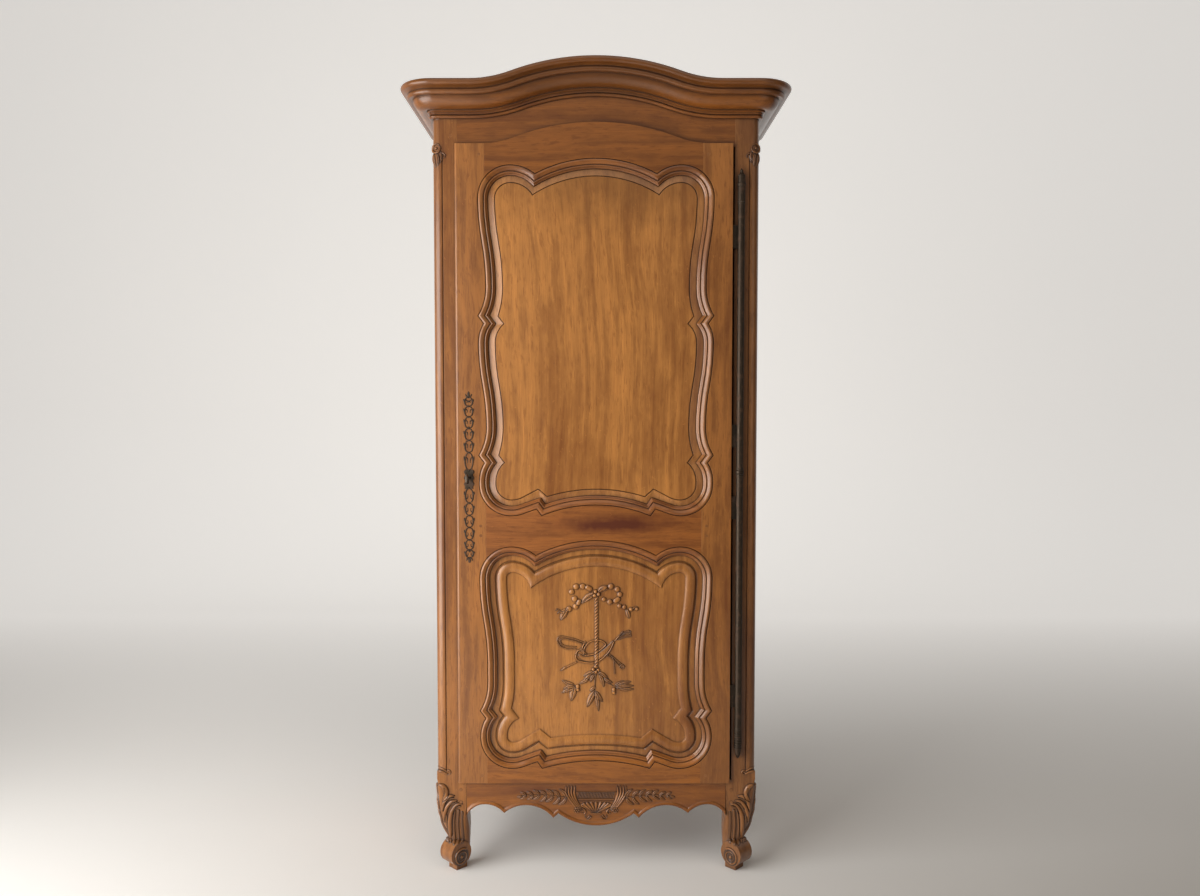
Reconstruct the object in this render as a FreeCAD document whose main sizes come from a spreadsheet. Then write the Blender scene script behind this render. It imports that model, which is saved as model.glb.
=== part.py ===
"""Bonnetiere: a tall walnut cupboard with one lipped door of two shaped panels, an arched cornice
and cabriole front legs on scroll feet. Millimetres, +X to the right, front towards -Y, +Z up.
Shapes are drawn with y = 0 at the faces of the front stiles; every Placement then moves them so
that the origin is the middle of the footprint, cornice included."""
import FreeCAD, Part
import math
import os
import re
from types import SimpleNamespace
import Sketcher
from FreeCAD import Vector as V

doc = FreeCAD.newDocument("bonnetiere")
sheet = doc.addObject("Spreadsheet::Sheet", "sizes")

SIZES = {
    # carcass
    "half_width": 430, "depth": 480, "stile_wide": 65, "leg_wide": 80, "rear_wide": 45,
    "stile_top": 2056, "apron_top": 249, "pendant_low": 122.5, "scallop_top": 181,
    "rail_thick": 30, "side_inset": 3, "side_thick": 27,
    "side_low": 150, "side_mid_low": 1040, "side_mid_top": 1130, "side_high": 1950,
    "tenon_in": 10, "tenon_thick": 9, "tenon_long": 35, "short_tenon": 25, "tongue": 8,
    "tenon_drop": 4, "peg_r": 4,
    # round corner of the front stiles, between its stops
    "reed_r": 20, "quirk_wide": 3, "reed_low": 272, "quirk_high": 1925,
    # boards, shelves and the battens under them
    "board": 18, "floor_top": 245, "board_gap": 0.4, "cleat": 24, "shelf": 20, "shelf_front": 75,
    "shelf_low": 640, "shelf_over": 10, "shelf_high": 1470, "back_set": 40, "back_rail": 22,
    "back_board": 14, "back_lap": 13, "back_low": 190, "back_rail_high": 80,
    "back_tenon": 20,
    # arch of the door head, and of the cornice above it: half span, rise, crown radius
    "head_span": 300, "head_rise": 55, "head_crown": 600,
    "crest_span": 325, "crest_rise": 57, "crest_crown": 560,
    # cornice: underside of the straight ends, height, overhang, seat on the rails, corner radius
    "cornice_low": 2011, "cornice_tall": 82, "cornice_out": 82, "seat": 45, "seat_deep": 40,
    "corner_r": 10,
    # door and its fit in the opening
    "door_head": 1945, "door_stile": 78.5, "overlap": 6, "hinge_gap": 6, "fit": 2.5,
    "lip_thick": 12, "lip_gap": 0.4, "door_back": 17, "edge_round": 6,
    # panel openings of the door
    "lobe_in": 54, "waist_in": 74, "ear_in": 53, "notch_in": 68, "lobe_r": 86, "crest_in": 65,
    "crest_drop": 40, "lobe_drop": 17, "ear_step": 20, "flare": 74, "belly": 50,
    "sway_long": 230, "bend_in": 30, "cusp_in": 67, "foot_ear_in": 13, "foot_lean": 19.5,
    "mould": 25, "groove_in": 3, "panel_thick": 8, "field": 5, "bevel": 4.5, "quirk": 2, "side_field": 4,
    # lines round the panels inside the moulding: the edge of the raised field, the crown of the cord
    "field_in": 44, "cord_in": 58, "cord_half": 14, "cord_high": 7, "cord_field": 1, "cord_quirk": 5,
    "top_margin": 38, "middle_wide": 64, "bottom_margin": 40, "lower_tall": 619,
    "upper_ear_up": 162, "ear_gap": 368, "lower_ear_up": 158, "upper_sill": 29, "lower_sill": 21,
    # hinge
    "hinge_out": 16, "hinge_y": -11, "barrel_r": 10, "pin_r": 4.5, "pin_play": 0.25,
    "hinge_top": 1881, "knuckle_top": 1862, "knuckle_low": 1793, "ring_high": 1089,
    "ring_low": 1078, "barrel_low": 390, "hinge_low": 311, "knuckle_gap": 0.5, "leaf": 2.5,
    "leaf_tall": 60, "leaf_deep": 32,
    # lock and key
    "key_in": 31, "key_z": 1068, "case_wide": 80, "case_tall": 110, "case_deep": 20, "sheet": 2,
    "bolt_tall": 14, "bolt_thick": 8, "bolt_throw": 14, "bit_r": 14, "shaft_r": 3.5,
    "key_gap": 0.3, "bow_r": 12, "bow_y": -34, "scutcheon": 1.5, "scutcheon_half": 221, "scutcheon_wide": 28,
}
# what follows from the sizes above, worked out on the same sheet
DERIVED = {
    "opening": "half_width - stile_wide", "door_left": "opening + overlap",
    "door_right": "opening - hinge_gap", "door_low": "apron_top - overlap",
    "upper_crest": "door_head - top_margin", "lower_foot": "door_low + bottom_margin",
    "lower_crest": "lower_foot + lower_tall", "upper_foot": "lower_crest + middle_wide",
    "hinge_x": "opening + hinge_out", "key_x": "key_in - door_left",
    "shelf_mid": "side_mid_low + shelf_over", "back_in": "depth - back_set",
    "lobe_half": "opening - lobe_in", "waist_half": "opening - waist_in",
    "ear_half": "opening - ear_in", "notch_half": "opening - notch_in",
    "shoulder": "lobe_half - lobe_r", "crest_half": "shoulder - crest_in",
    "foot_cusp": "shoulder - cusp_in", "foot_ear": "foot_cusp - foot_ear_in",
    "foot_bend": "shoulder - bend_in",
}
SIZES.update({name: "=" + rule for name, rule in DERIVED.items()})
for row, (name, value) in enumerate(SIZES.items(), 1):
    sheet.set(f"A{row}", name)
    sheet.set(f"B{row}", str(value))
    sheet.setAlias(f"B{row}", name)
doc.recompute()
d = SimpleNamespace(**{name: float(sheet.get(name)) for name in SIZES})
NODES = []


def bound(expr):
    """A sum of aliases turned into a FreeCAD expression on the sheet."""
    return re.sub(r"[a-z]\w*", lambda m: "sizes." + m.group(0), str(expr))


def node(obj, label):
    """Keeps obj as a sub-part under its label and moves it to the shared origin."""
    obj.Label = label
    obj.setExpression("Placement.Base.y", bound("(cornice_out - depth) / 2"))
    NODES.append(obj)
    return obj


def feature(label, shape):
    """A sub-part whose outline no single feature makes."""
    obj = doc.addObject("Part::Feature", label)
    obj.Shape = shape
    return node(obj, label)


def block(x0, x1, y0, y1, z0, z1):
    """A box between six expressions."""
    box = doc.addObject("Part::Box", "block")
    for length, base, low, high in (("Length", "x", x0, x1), ("Width", "y", y0, y1),
                                    ("Height", "z", z0, z1)):
        box.setExpression(length, bound(f"({high}) - ({low})"))
        box.setExpression("Placement.Base." + base, bound(low))
    return box


def side_block(s, x0, x1, *rest):
    """A box given for the right-hand side, mirrored when s is -1."""
    return block(x0, x1, *rest) if s > 0 else block(f"-({x1})", f"-({x0})", *rest)


def timber(label, add, cut=()):
    """Boxes joined into one piece, less the boxes of its mortises and grooves."""
    whole = add[0]
    if len(add) > 1:
        whole = doc.addObject("Part::MultiFuse", label + "_stock")
        whole.Shapes = list(add)
    for tool in cut:
        less = doc.addObject("Part::Cut", label + "_cut")
        less.Base, less.Tool = whole, tool
        whole = less
    return node(whole, label)


def group(label, members):
    """Loose solids of one kind that share a node."""
    compound = doc.addObject("Part::Compound", label)
    compound.Links = list(members)
    return node(compound, label)


def slab(x0, x1, y0, y1, z0, z1):
    return Part.makeBox(x1 - x0, y1 - y0, z1 - z0, V(x0, y0, z0))


# ---- plane curves: chains of straight lines and arcs in the XZ plane, offset exactly ----

class Chain:
    """Segments (start, end, heading at start, heading at end, curvature); left turns are positive."""

    def __init__(self, start, angle):
        self.at, self.angle, self.segs = start, math.radians(angle), []

    def _add(self, end, turn):
        length = math.dist(self.at, end)
        curve = 2 * math.sin(turn / 2) / length
        self.segs.append((self.at, end, self.angle, self.angle + turn, curve))
        self.at, self.angle = end, self.angle + turn
        return self

    def to(self, end):
        """Arc that leaves along the present heading and ends at end."""
        chord = math.atan2(end[1] - self.at[1], end[0] - self.at[0])
        turn = 2 * math.remainder(chord - self.angle, 2 * math.pi)
        return self._add(end, turn if abs(turn) > 1e-9 else 0.0)

    def into(self, end, angle):
        """Arc that ends at end along a given heading, whatever the heading it starts on."""
        chord = math.atan2(end[1] - self.at[1], end[0] - self.at[0])
        turn = 2 * math.remainder(math.radians(angle) - chord, 2 * math.pi)
        self.angle = math.radians(angle) - turn
        return self._add(end, turn)

    def line(self, end):
        self.angle = math.atan2(end[1] - self.at[1], end[0] - self.at[0])
        return self._add(end, 0.0)

    def sway(self, end):
        """Two equal arcs, so that the heading is the same at both ends."""
        middle = ((self.at[0] + end[0]) / 2, (self.at[1] + end[1]) / 2)
        return self.to(middle).to(end)


def mirrored(chain):
    """The chain followed by its mirror image in x = 0, as one closed or symmetric run."""
    back = []
    for p, q, a0, a1, k in reversed(chain.segs):
        back.append(((-q[0], q[1]), (-p[0], p[1]), -a1, -a0, k))
    return list(chain.segs) + back


def meet(seg, after, off):
    """Where two neighbouring segments, moved off to the right, meet."""
    p, n0 = seg[1], (math.sin(seg[3]), -math.cos(seg[3]))
    n1 = (math.sin(after[2]), -math.cos(after[2]))
    near = 1 + n0[0] * n1[0] + n0[1] * n1[1]
    at = [p[i] + off * (n0[i] + n1[i]) / near for i in (0, 1)]
    if abs(math.remainder(seg[3] - after[2], 2 * math.pi)) < 1e-4:
        return tuple(at)
    rules = []
    for s, end in ((seg, 1), (after, 0)):
        a, n = s[2 + end], (n0, n1)[0 if end else 1]
        if abs(s[4]) < 1e-9:
            rules.append((n[0], n[1], None, p[0] * n[0] + p[1] * n[1] + off))
        else:
            rules.append((p[0] - n[0] / s[4], p[1] - n[1] / s[4], True, abs(1 / s[4] + off)))
    for _ in range(40):
        rows = []
        for u, w, round_, size in rules:
            if round_:
                dx, dz = at[0] - u, at[1] - w
                far = math.hypot(dx, dz)
                rows.append((dx / far, dz / far, size - far))
            else:
                rows.append((u, w, size - at[0] * u - at[1] * w))
        (a, b, e), (c, f, g) = rows
        det = a * f - b * c
        at = [at[0] + (e * f - b * g) / det, at[1] + (a * g - e * c) / det]
    return tuple(at)


def edges(segs, off, y, closed=True):
    """Edges of the chain moved off to the right, in the plane at depth y."""
    count = len(segs)
    if closed:
        joints = [meet(segs[i - 1], segs[i], off) for i in range(count)]
        joints.append(joints[0])
    else:
        joints = [meet(segs[i - 1], segs[i], off) for i in range(1, count)]
        first, last = segs[0], segs[-1]
        joints.insert(0, (first[0][0] + off * math.sin(first[2]), first[0][1] - off * math.cos(first[2])))
        joints.append((last[1][0] + off * math.sin(last[3]), last[1][1] - off * math.cos(last[3])))
    made = []
    for (p, q, a0, a1, k), start, end in zip(segs, joints, joints[1:]):
        u, w = V(start[0], y, start[1]), V(end[0], y, end[1])
        if abs(k) < 1e-9:
            made.append(Part.LineSegment(u, w).toShape())
            continue
        cx, cz = p[0] - math.sin(a0) / k, p[1] + math.cos(a0) / k
        radius = 1 / k + off
        middle = ((start[0] + end[0]) / 2 - cx, (start[1] + end[1]) / 2 - cz)
        far = abs(radius) / math.hypot(*middle)
        made.append(Part.Arc(u, V(cx + middle[0] * far, y, cz + middle[1] * far), w).toShape())
    return made


def ring(segs, off, y):
    return Part.Wire(edges(segs, off, y))


def prism(segs, off, y0, y1):
    """Solid inside a closed chain from depth y0 back to y1."""
    return Part.Face(ring(segs, off, y0)).extrude(V(0, y1 - y0, 0))


def stepped(segs, profile):
    """Solid whose rim follows the chain at each (offset, depth) of a profile."""
    return Part.makeLoft([ring(segs, off, y) for off, y in profile], True, True)


def arch(half, foot, span, rise, crown):
    """Flat, swept up and over to a crown and down again: the chapeau line, left to right."""
    lean = 2 * math.atan(rise / span)
    over = crown * math.sin(lean)
    top = rise - crown * (1 - math.cos(lean))
    chain = Chain((-half, foot), 0)
    chain.line((-span, foot)).to((-over, foot + top)).to((0, foot + rise))
    return mirrored(chain)


def under_arch(segs, off, floor, y0, y1):
    """Solid from a straight floor up to an arch moved off downwards."""
    line = edges(segs, off, y0, closed=False)
    left, right = line[0].firstVertex(True).Point, line[-1].lastVertex(True).Point
    corners = [right, V(right.x, y0, floor), V(left.x, y0, floor), left]
    line += [Part.LineSegment(a, b).toShape() for a, b in zip(corners, corners[1:])]
    return Part.Face(Part.Wire(line)).extrude(V(0, y1 - y0, 0))


def peg(x, z, y0, y1):
    """Wooden pin driven from the front through a joint."""
    return Part.makeCylinder(d.peg_r, y1 - y0, V(x, y0, z), V(0, 1, 0))


def side_peg(s, y, z, out, deep):
    return Part.makeCylinder(d.peg_r, deep, V(s * out, y, z), V(-s, 0, 0))


# ---- levels and lines used by several pieces ----
opening = d.opening
leg_in = d.half_width - d.leg_wide
side_out = d.half_width - d.side_inset
side_in = side_out - d.side_thick
tenon_back = d.tenon_in + d.tenon_thick
rear_front = d.depth - d.rear_wide
lip = d.overlap + d.fit
head = arch(d.half_width, d.door_head, d.head_span, d.head_rise, d.head_crown)
crest = arch(d.half_width, d.cornice_low, d.crest_span, d.crest_rise, d.crest_crown)
carcass_pegs, door_pegs = [], []

# ---- front stiles: one timber each, from the cornice down to the scroll foot ----
# inset of the outer faces, of the inner faces, outer corner radius, inner corner radius, how far
# the section has come forward, height
LEG = ((0, 80, 4, 1, 0, 249), (1, 80, 10, 1, 0, 212), (2, 80, 16, 2, 0, 175), (5, 80, 20, 8, 2, 149),
       (9.5, 82, 23, 14, 6, 126), (18, 84, 24, 18, 13, 105), (27, 84.5, 26, 22, 22, 85),
       (33, 84, 24, 22, 31, 58), (38, 80, 19, 19, 34, 30))
SCROLL = SimpleNamespace(inset=45.5, ahead=34, z=48.5, r=33, near=29, far=22, eye_drop=9)
PAD = SimpleNamespace(inset=52.5, ahead=32, side=35, top=24)


def rounded(outer, inner, r_out, r_in, ahead, z):
    """Square leg section at height z, its round corner towards the front outer corner."""
    corners = ((outer, outer, r_out), (inner, outer, r_in), (inner, inner, r_in), (outer, inner, r_in))
    parts, ends = [], []
    for i, (x, y, r) in enumerate(corners):
        (xp, yp, _), (xn, yn, _) = corners[i - 1], corners[(i + 1) % 4]
        back = V(xp - x, yp - y, 0).normalize()
        onward = V(xn - x, yn - y, 0).normalize()
        at = V(x, y - ahead, z)
        middle = at + (back + onward) * (r * (1 - math.sqrt(0.5)))
        ends.append((at + back * r, middle, at + onward * r))
    for i, (a, b, c) in enumerate(ends):
        parts += [Part.Arc(a, b, c).toShape(), Part.LineSegment(c, ends[(i + 1) % 4][0]).toShape()]
    return Part.Wire(parts)


def eased(rows):
    """The rows with smooth ones between them (cubic, flat where a value turns back)."""
    heights = [row[-1] for row in rows]

    def slope(column, i):
        steps = [(rows[k + 1][column] - rows[k][column]) / (heights[k + 1] - heights[k])
                 for k in (i - 1, i) if 0 <= k < len(rows) - 1]
        return 0.0 if min(steps) * max(steps) <= 0 else 2 / sum(1 / step for step in steps) \
            if len(steps) == 2 else steps[0]

    out = [rows[0]]
    for i, (a, b) in enumerate(zip(rows, rows[1:])):
        for part in (0.5, 1.0):
            gap, row = b[-1] - a[-1], []
            for column in range(len(a) - 1):
                m0, m1 = slope(column, i) * gap, slope(column, i + 1) * gap
                t2, t3 = part ** 2, part ** 3
                row.append((2 * t3 - 3 * t2 + 1) * a[column] + (t3 - 2 * t2 + part) * m0
                           + (3 * t2 - 2 * t3) * b[column] + (t3 - t2) * m1)
            out.append((*row, a[-1] + part * gap))
    return out


def scroll_foot():
    """Roll of the foot, curled outwards on the diagonal, its volute sunk in both ends."""
    across = V(1, -1, 0).normalize()
    middle = V(SCROLL.inset, SCROLL.inset - SCROLL.ahead, SCROLL.z)
    far, near = middle - across * SCROLL.far, middle + across * SCROLL.near
    roll = Part.makeCylinder(SCROLL.r, SCROLL.near + SCROLL.far, far, across)
    for end, away in ((far, across), (near, -across)):
        end = end - V(0, 0, SCROLL.eye_drop)
        groove = Part.makeCylinder(SCROLL.r * 0.65, 3, end, away)
        eye = Part.makeCylinder(SCROLL.r * 0.48, 3, end, away)
        roll = roll.cut(groove.cut(eye))
    return roll


def front_stile(s):
    """Left (-1) or right (1) stile, drawn as insets from its outer and front faces."""
    top = slab(0, d.stile_wide, 0, d.stile_wide, d.apron_top, d.stile_top)
    square = slab(0, d.reed_r, 0, d.reed_r, d.reed_low, d.cornice_low)
    reed = Part.makeCylinder(d.reed_r, d.cornice_low - d.reed_low, V(d.reed_r, d.reed_r, d.reed_low))
    top = top.cut(square.cut(reed))
    for x, y in ((d.reed_r + 2 * d.quirk_wide, 0), (0, d.reed_r + 2 * d.quirk_wide)):
        turn = Part.makeBox(d.quirk_wide, d.quirk_wide, d.quirk_high - d.reed_low)
        turn.translate(V(-d.quirk_wide / 2, -d.quirk_wide / 2, 0))
        turn.rotate(V(0, 0, 0), V(0, 0, 1), 45)
        turn.translate(V(x, y, d.reed_low))
        top = top.cut(turn)
    leg = Part.makeLoft([rounded(*row) for row in eased(LEG)], True, True)
    pad = Part.makeBox(PAD.side, PAD.side, PAD.top, V(-PAD.side / 2, -PAD.side / 2, 0))
    pad.rotate(V(0, 0, 0), V(0, 0, 1), 45)
    pad.translate(V(PAD.inset, PAD.inset - PAD.ahead, 0))
    whole = top.fuse([leg, scroll_foot(), pad])
    # mortises for the frieze and apron rails, the side rails, and the grooves of the side panels
    low, high = d.stile_wide - 1, d.stile_wide - d.tenon_long
    whole = whole.cut(slab(high, low + 9, d.tenon_in, tenon_back, d.door_head, d.stile_top - 8))
    whole = whole.cut(slab(d.leg_wide - d.tenon_long, d.leg_wide + 9, d.tenon_in, tenon_back,
                           d.side_low + 20, d.apron_top - 12))
    near = d.side_inset + 9
    for z0, z1, end in side_tenons():
        face = d.leg_wide if end else d.stile_wide
        whole = whole.cut(slab(near, near + d.tenon_thick, face - d.short_tenon, face + 9, z0, z1))
    for z0, z1 in ((d.apron_top, d.side_mid_low), (d.side_mid_top, d.side_high)):
        whole = whole.cut(slab(near, near + d.tongue, d.stile_wide - d.tongue, d.leg_wide + 9,
                               z0 - d.tongue, z1 + d.tongue))
    if s > 0:
        whole = whole.mirror(V(0, 0, 0), V(1, 0, 0))
    whole.translate(V(s * d.half_width, 0, 0))
    return whole


def side_tenons():
    """Height ranges of the tenons of the bottom, middle and top side rails."""
    return ((d.side_low + 12, d.apron_top - 12, True),
            (d.side_mid_low + 12, d.side_mid_top - 12, False),
            (d.side_high + 12, d.stile_top - d.board - 12, False))


def pegged(shape, pins):
    return shape.cut(pins) if pins else shape


frieze_pins, apron_pins = {}, {}
for s in (-1, 1):
    frieze_pins[s] = [peg(s * (opening + 16), z, 0, tenon_back + 6)
                      for z in (d.door_head + 22, d.stile_top - 30)]
    apron_pins[s] = [peg(s * (leg_in + 16), z, 0, tenon_back + 6)
                     for z in (d.side_low + 36, d.apron_top - 28)]
    carcass_pegs += frieze_pins[s] + apron_pins[s]
side_pins = {}
for s in (-1, 1):
    side_pins[s] = []
    for z0, z1, end in side_tenons():
        for y in ((d.leg_wide if end else d.stile_wide) - 12, rear_front + 15):
            side_pins[s].append(side_peg(s, y, (z0 + z1) / 2, side_out + 3, 24))
    carcass_pegs += side_pins[s]

strike = (-opening - d.sheet, -opening, 12, 42, d.key_z - 8, d.key_z + 54)
bolt_low = d.key_z + d.bit_r + 2
bolt_y = d.door_back + 5
keeper = (bolt_y - 1, bolt_y + d.bolt_thick + 1, bolt_low - 1, bolt_low + d.bolt_tall + 1)
stiles = {s: pegged(front_stile(s), frieze_pins[s] + apron_pins[s] + side_pins[s]) for s in (-1, 1)}
stiles[-1] = stiles[-1].cut([slab(*strike), slab(-opening - d.bolt_throw - 10, -opening + 1, *keeper)])
leaf_half = d.leaf / 2
stile_leaves = [(d.knuckle_low + 5, d.knuckle_low + 5 + d.leaf_tall), (d.ring_low, d.ring_high),
                (d.hinge_low + 12, d.hinge_low + 12 + d.leaf_tall)]
stiles[1] = stiles[1].cut([slab(d.hinge_x - leaf_half, d.hinge_x + leaf_half, 0, d.leaf_deep, z0, z1)
                           for z0, z1 in stile_leaves])
feature("left_front_stile", stiles[-1])
feature("right_front_stile", stiles[1])

# ---- frieze rail: arched below over the door and above under the cornice ----
frieze = under_arch(crest, -d.seat, d.door_head - 30, 0, d.rail_thick)
frieze = frieze.common(slab(-opening, opening, 0, d.rail_thick, 0, d.stile_top + 99))
frieze = frieze.cut(under_arch(head, d.overlap, 0, -9, d.rail_thick + 9))
for s in (-1, 1):
    x0, x1 = sorted((s * opening, s * (opening + d.tenon_long)))
    frieze = frieze.fuse(slab(x0, x1, d.tenon_in, tenon_back, d.door_head, d.stile_top - 8))
    frieze = pegged(frieze, frieze_pins[s])
feature("frieze_rail", frieze)

# ---- apron rail: scalloped lower edge with a pendant in the middle, a bead along it ----
def apron_edge():
    """Right half of the lower edge, from the pendant out to the leg, then mirrored."""
    chain = Chain((0, d.pendant_low), 0)
    chain.to((102, d.pendant_low + 33)).line((116, d.pendant_low + 21))
    chain.into((leg_in - 160, d.scallop_top - 2.5), 0).to((leg_in - 101, d.scallop_top - 24))
    chain.into((leg_in - 48, d.scallop_top), 0).to((leg_in, d.side_low))
    segs = [(q, p, a1 + math.pi, a0 + math.pi, -k) for p, q, a0, a1, k in reversed(chain.segs)]
    return mirrored(SimpleNamespace(segs=segs))


scallop = apron_edge()


def apron_face(off, y):
    """Outline of the board above the scalloped edge moved up by off."""
    line = edges(scallop, off, y, closed=False)
    first, last = line[0].firstVertex(True).Point, line[-1].lastVertex(True).Point
    turn = [last, V(last.x, y, d.apron_top), V(first.x, y, d.apron_top), first]
    return Part.Wire(line + [Part.LineSegment(a, b).toShape() for a, b in zip(turn, turn[1:])])


board = Part.Face(apron_face(0, 0)).extrude(V(0, d.rail_thick, 0))
outside = Part.makeLoft([apron_face(off, y) for off, y in ((0, 0), (1, -2), (4, -3.5))], True, True)
inside = Part.makeLoft([apron_face(off, y) for off, y in ((4, -3.5), (8, -2.2), (10, 0))], True, True)
board = board.fuse(outside.cut(inside)).common(slab(-leg_in, leg_in, -9, d.rail_thick, 0, d.apron_top))
for s in (-1, 1):
    x0, x1 = sorted((s * leg_in, s * (leg_in + d.tenon_long)))
    board = board.fuse(slab(x0, x1, d.tenon_in, tenon_back, d.side_low + 20, d.apron_top - 12))
    board = pegged(board, apron_pins[s])
feature("apron_rail", board)

# ---- sides: three rails and two fielded panels each ----
tongue_x = (side_out - 9 - d.tongue, side_out - 9)
for s, side in ((-1, "left"), (1, "right")):
    rows = (("bottom", "side_low", "apron_top", "leg_wide"),
            ("middle", "side_mid_low", "side_mid_top", "stile_wide"),
            ("top", "side_high", "stile_top - board", "stile_wide"))
    face = "half_width - side_inset"
    for level, low, high, front in rows:
        tenon = side_block(s, f"{face} - 9 - tenon_thick", f"{face} - 9", f"{front} - short_tenon",
                           "depth - rear_wide + tenon_long", f"{low} + 12", f"{high} - 12")
        rail = side_block(s, f"{face} - side_thick", face, front, "depth - rear_wide", low, high)
        grooves = []
        for edge, sign in ((high, -1), (low, 1)):
            if (level, sign) in (("bottom", 1), ("top", -1)):
                continue
            z0, z1 = (f"{edge} - tongue", edge) if sign < 0 else (edge, f"{edge} + tongue")
            grooves.append(side_block(s, f"{face} - 9 - tongue", f"{face} - 9", front,
                                      "depth - rear_wide", z0, z1))
        holes = []
        for y in (f"{front} - 12", "depth - rear_wide + 15"):
            hole = doc.addObject("Part::Cylinder", "peg_hole")
            hole.setExpression("Radius", bound("peg_r"))
            hole.Height = 60
            hole.Placement = FreeCAD.Placement(V(s * (side_out - 50), 0, 0), V(0, 1, 0), 90 * s)
            hole.setExpression("Placement.Base.y", bound(y))
            hole.setExpression("Placement.Base.z", bound(f"({low} + {high}) / 2"))
            holes.append(hole)
        timber(f"{side}_side_{level}_rail", [rail, tenon], grooves + holes)


def fielded(label, s, z0, z1):
    """Panel held by its thin edges, the field raised outwards with bevelled borders."""
    body = doc.addObject("PartDesign::Body", label + "_board")
    plane = next(f for f in body.Origin.OriginFeatures if f.Role == "YZ_Plane")
    for name, out, base, thick, taper in (("edge", "(0 - tongue)", "- 9 - tongue", "tongue", 0),
                                          ("raise", "tongue / 2", "- 9", "side_field", -80)):
        sketch = rectangle(body, plane, name, f"stile_wide + {out}", f"depth - rear_wide - {out}",
                           f"{z0} + {out}", f"{z1} - {out}")
        sketch.setExpression("AttachmentOffset.Base.z", bound(f"half_width - side_inset {base}"))
        pad = body.newObject("PartDesign::Pad", name + "_pad")
        pad.Profile = sketch
        pad.setExpression("Length", bound(thick))
        if taper:
            pad.TaperAngle = taper
    if s < 0:
        mirror = doc.addObject("Part::Mirroring", label + "_left")
        mirror.Source, mirror.Normal = body, V(1, 0, 0)
        return node(mirror, label)
    return node(body, label)


def rectangle(body, plane, name, u0, u1, w0, w1):
    """Closed rectangle on an origin plane, its four sides driven by expressions."""
    sketch = body.newObject("Sketcher::SketchObject", name)
    sketch.AttachmentSupport = (plane, [""])
    sketch.MapMode = "FlatFace"
    at = (V(10, 10, 0), V(20, 10, 0), V(20, 20, 0), V(10, 20, 0))
    for i in range(4):
        sketch.addGeometry(Part.LineSegment(at[i], at[(i + 1) % 4]), False)
    for i in range(4):
        sketch.addConstraint(Sketcher.Constraint("Coincident", i, 2, (i + 1) % 4, 1))
        sketch.addConstraint(Sketcher.Constraint("Horizontal" if i % 2 == 0 else "Vertical", i))
    for kind, vertex, expr in (("DistanceX", 0, u0), ("DistanceY", 0, w0), ("DistanceX", 2, u1),
                               ("DistanceY", 2, w1)):
        index = sketch.addConstraint(Sketcher.Constraint(kind, -1, 1, vertex, 1, 10.0))
        sketch.renameConstraint(index, f"{name}_{kind[-1]}{vertex}")
        sketch.setExpression(f"Constraints.{name}_{kind[-1]}{vertex}", bound(expr))
    return sketch


for s, side in ((-1, "left"), (1, "right")):
    fielded(f"{side}_side_lower_panel", s, "apron_top", "side_mid_low")
    fielded(f"{side}_side_upper_panel", s, "side_mid_top", "side_high")

# ---- rear stiles, rebated for the back boards, and the three back rails ----
back_levels = (("bottom", "back_low"), ("middle", "side_mid_low"), ("top", "stile_top - back_rail_high"))
for s, side in ((-1, "left"), (1, "right")):
    post = side_block(s, "half_width - rear_wide", "half_width", "depth - rear_wide", "depth",
                      "0", "stile_top")
    cuts = [side_block(s, "half_width - rear_wide", "half_width - rear_wide + back_lap",
                       "back_in + back_rail", "depth", "back_low", "stile_top")]
    face = "half_width - side_inset"
    for low, high in (("side_low", "apron_top"), ("side_mid_low", "side_mid_top"),
                      ("side_high", "stile_top - board")):
        cuts.append(side_block(s, f"{face} - 9 - tenon_thick", f"{face} - 9", "depth - rear_wide",
                               "depth - rear_wide + tenon_long", f"{low} + 12", f"{high} - 12"))
    for low, high in (("apron_top - tongue", "side_mid_low + tongue"),
                      ("side_mid_top - tongue", "side_high + tongue")):
        cuts.append(side_block(s, f"{face} - 9 - tongue", f"{face} - 9", "depth - rear_wide",
                               "depth - rear_wide + tongue", low, high))
    for level, low in back_levels:
        cuts.append(side_block(s, "half_width - rear_wide", "half_width - rear_wide + back_tenon",
                               "back_in + 6", "back_in + 6 + tenon_thick", f"{low} + 10",
                               f"{low} + back_rail_high - 10"))
    for z0, z1, end in side_tenons():
        hole = doc.addObject("Part::Cylinder", "peg_hole")
        hole.setExpression("Radius", bound("peg_r"))
        hole.Height = 24
        hole.Placement = FreeCAD.Placement(V(s * (side_out + 3), rear_front + 15, (z0 + z1) / 2),
                                           V(0, 1, 0), -90 * s)
        cuts.append(hole)
    timber(f"{side}_rear_stile", [post], cuts)
for level, low in back_levels:
    rail = block("rear_wide - half_width", "half_width - rear_wide", "back_in", "back_in + back_rail",
                 low, f"{low} + back_rail_high")
    tenon = block("rear_wide - half_width - back_tenon", "half_width - rear_wide + back_tenon", "back_in + 6",
                  "back_in + 6 + tenon_thick", f"{low} + 10", f"{low} + back_rail_high - 10")
    timber(f"back_{level}_rail", [rail, tenon])

# ---- boards: back planks, floor and top, each laid side by side ----
def planks(count, low, high, make):
    """Solids made by make(start, end) for count boards that fill low..high with fine gaps."""
    step = (high - low) / count
    return [make(low + i * step + d.board_gap / 2, low + (i + 1) * step - d.board_gap / 2)
            for i in range(count)]


back_reach = d.half_width - d.rear_wide + d.back_lap
back_y = d.back_in + d.back_rail
feature("back_boards", Part.makeCompound(planks(6, -back_reach, back_reach, lambda a, b: slab(
    a, b, back_y, back_y + d.back_board, d.back_low, d.stile_top))))


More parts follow.
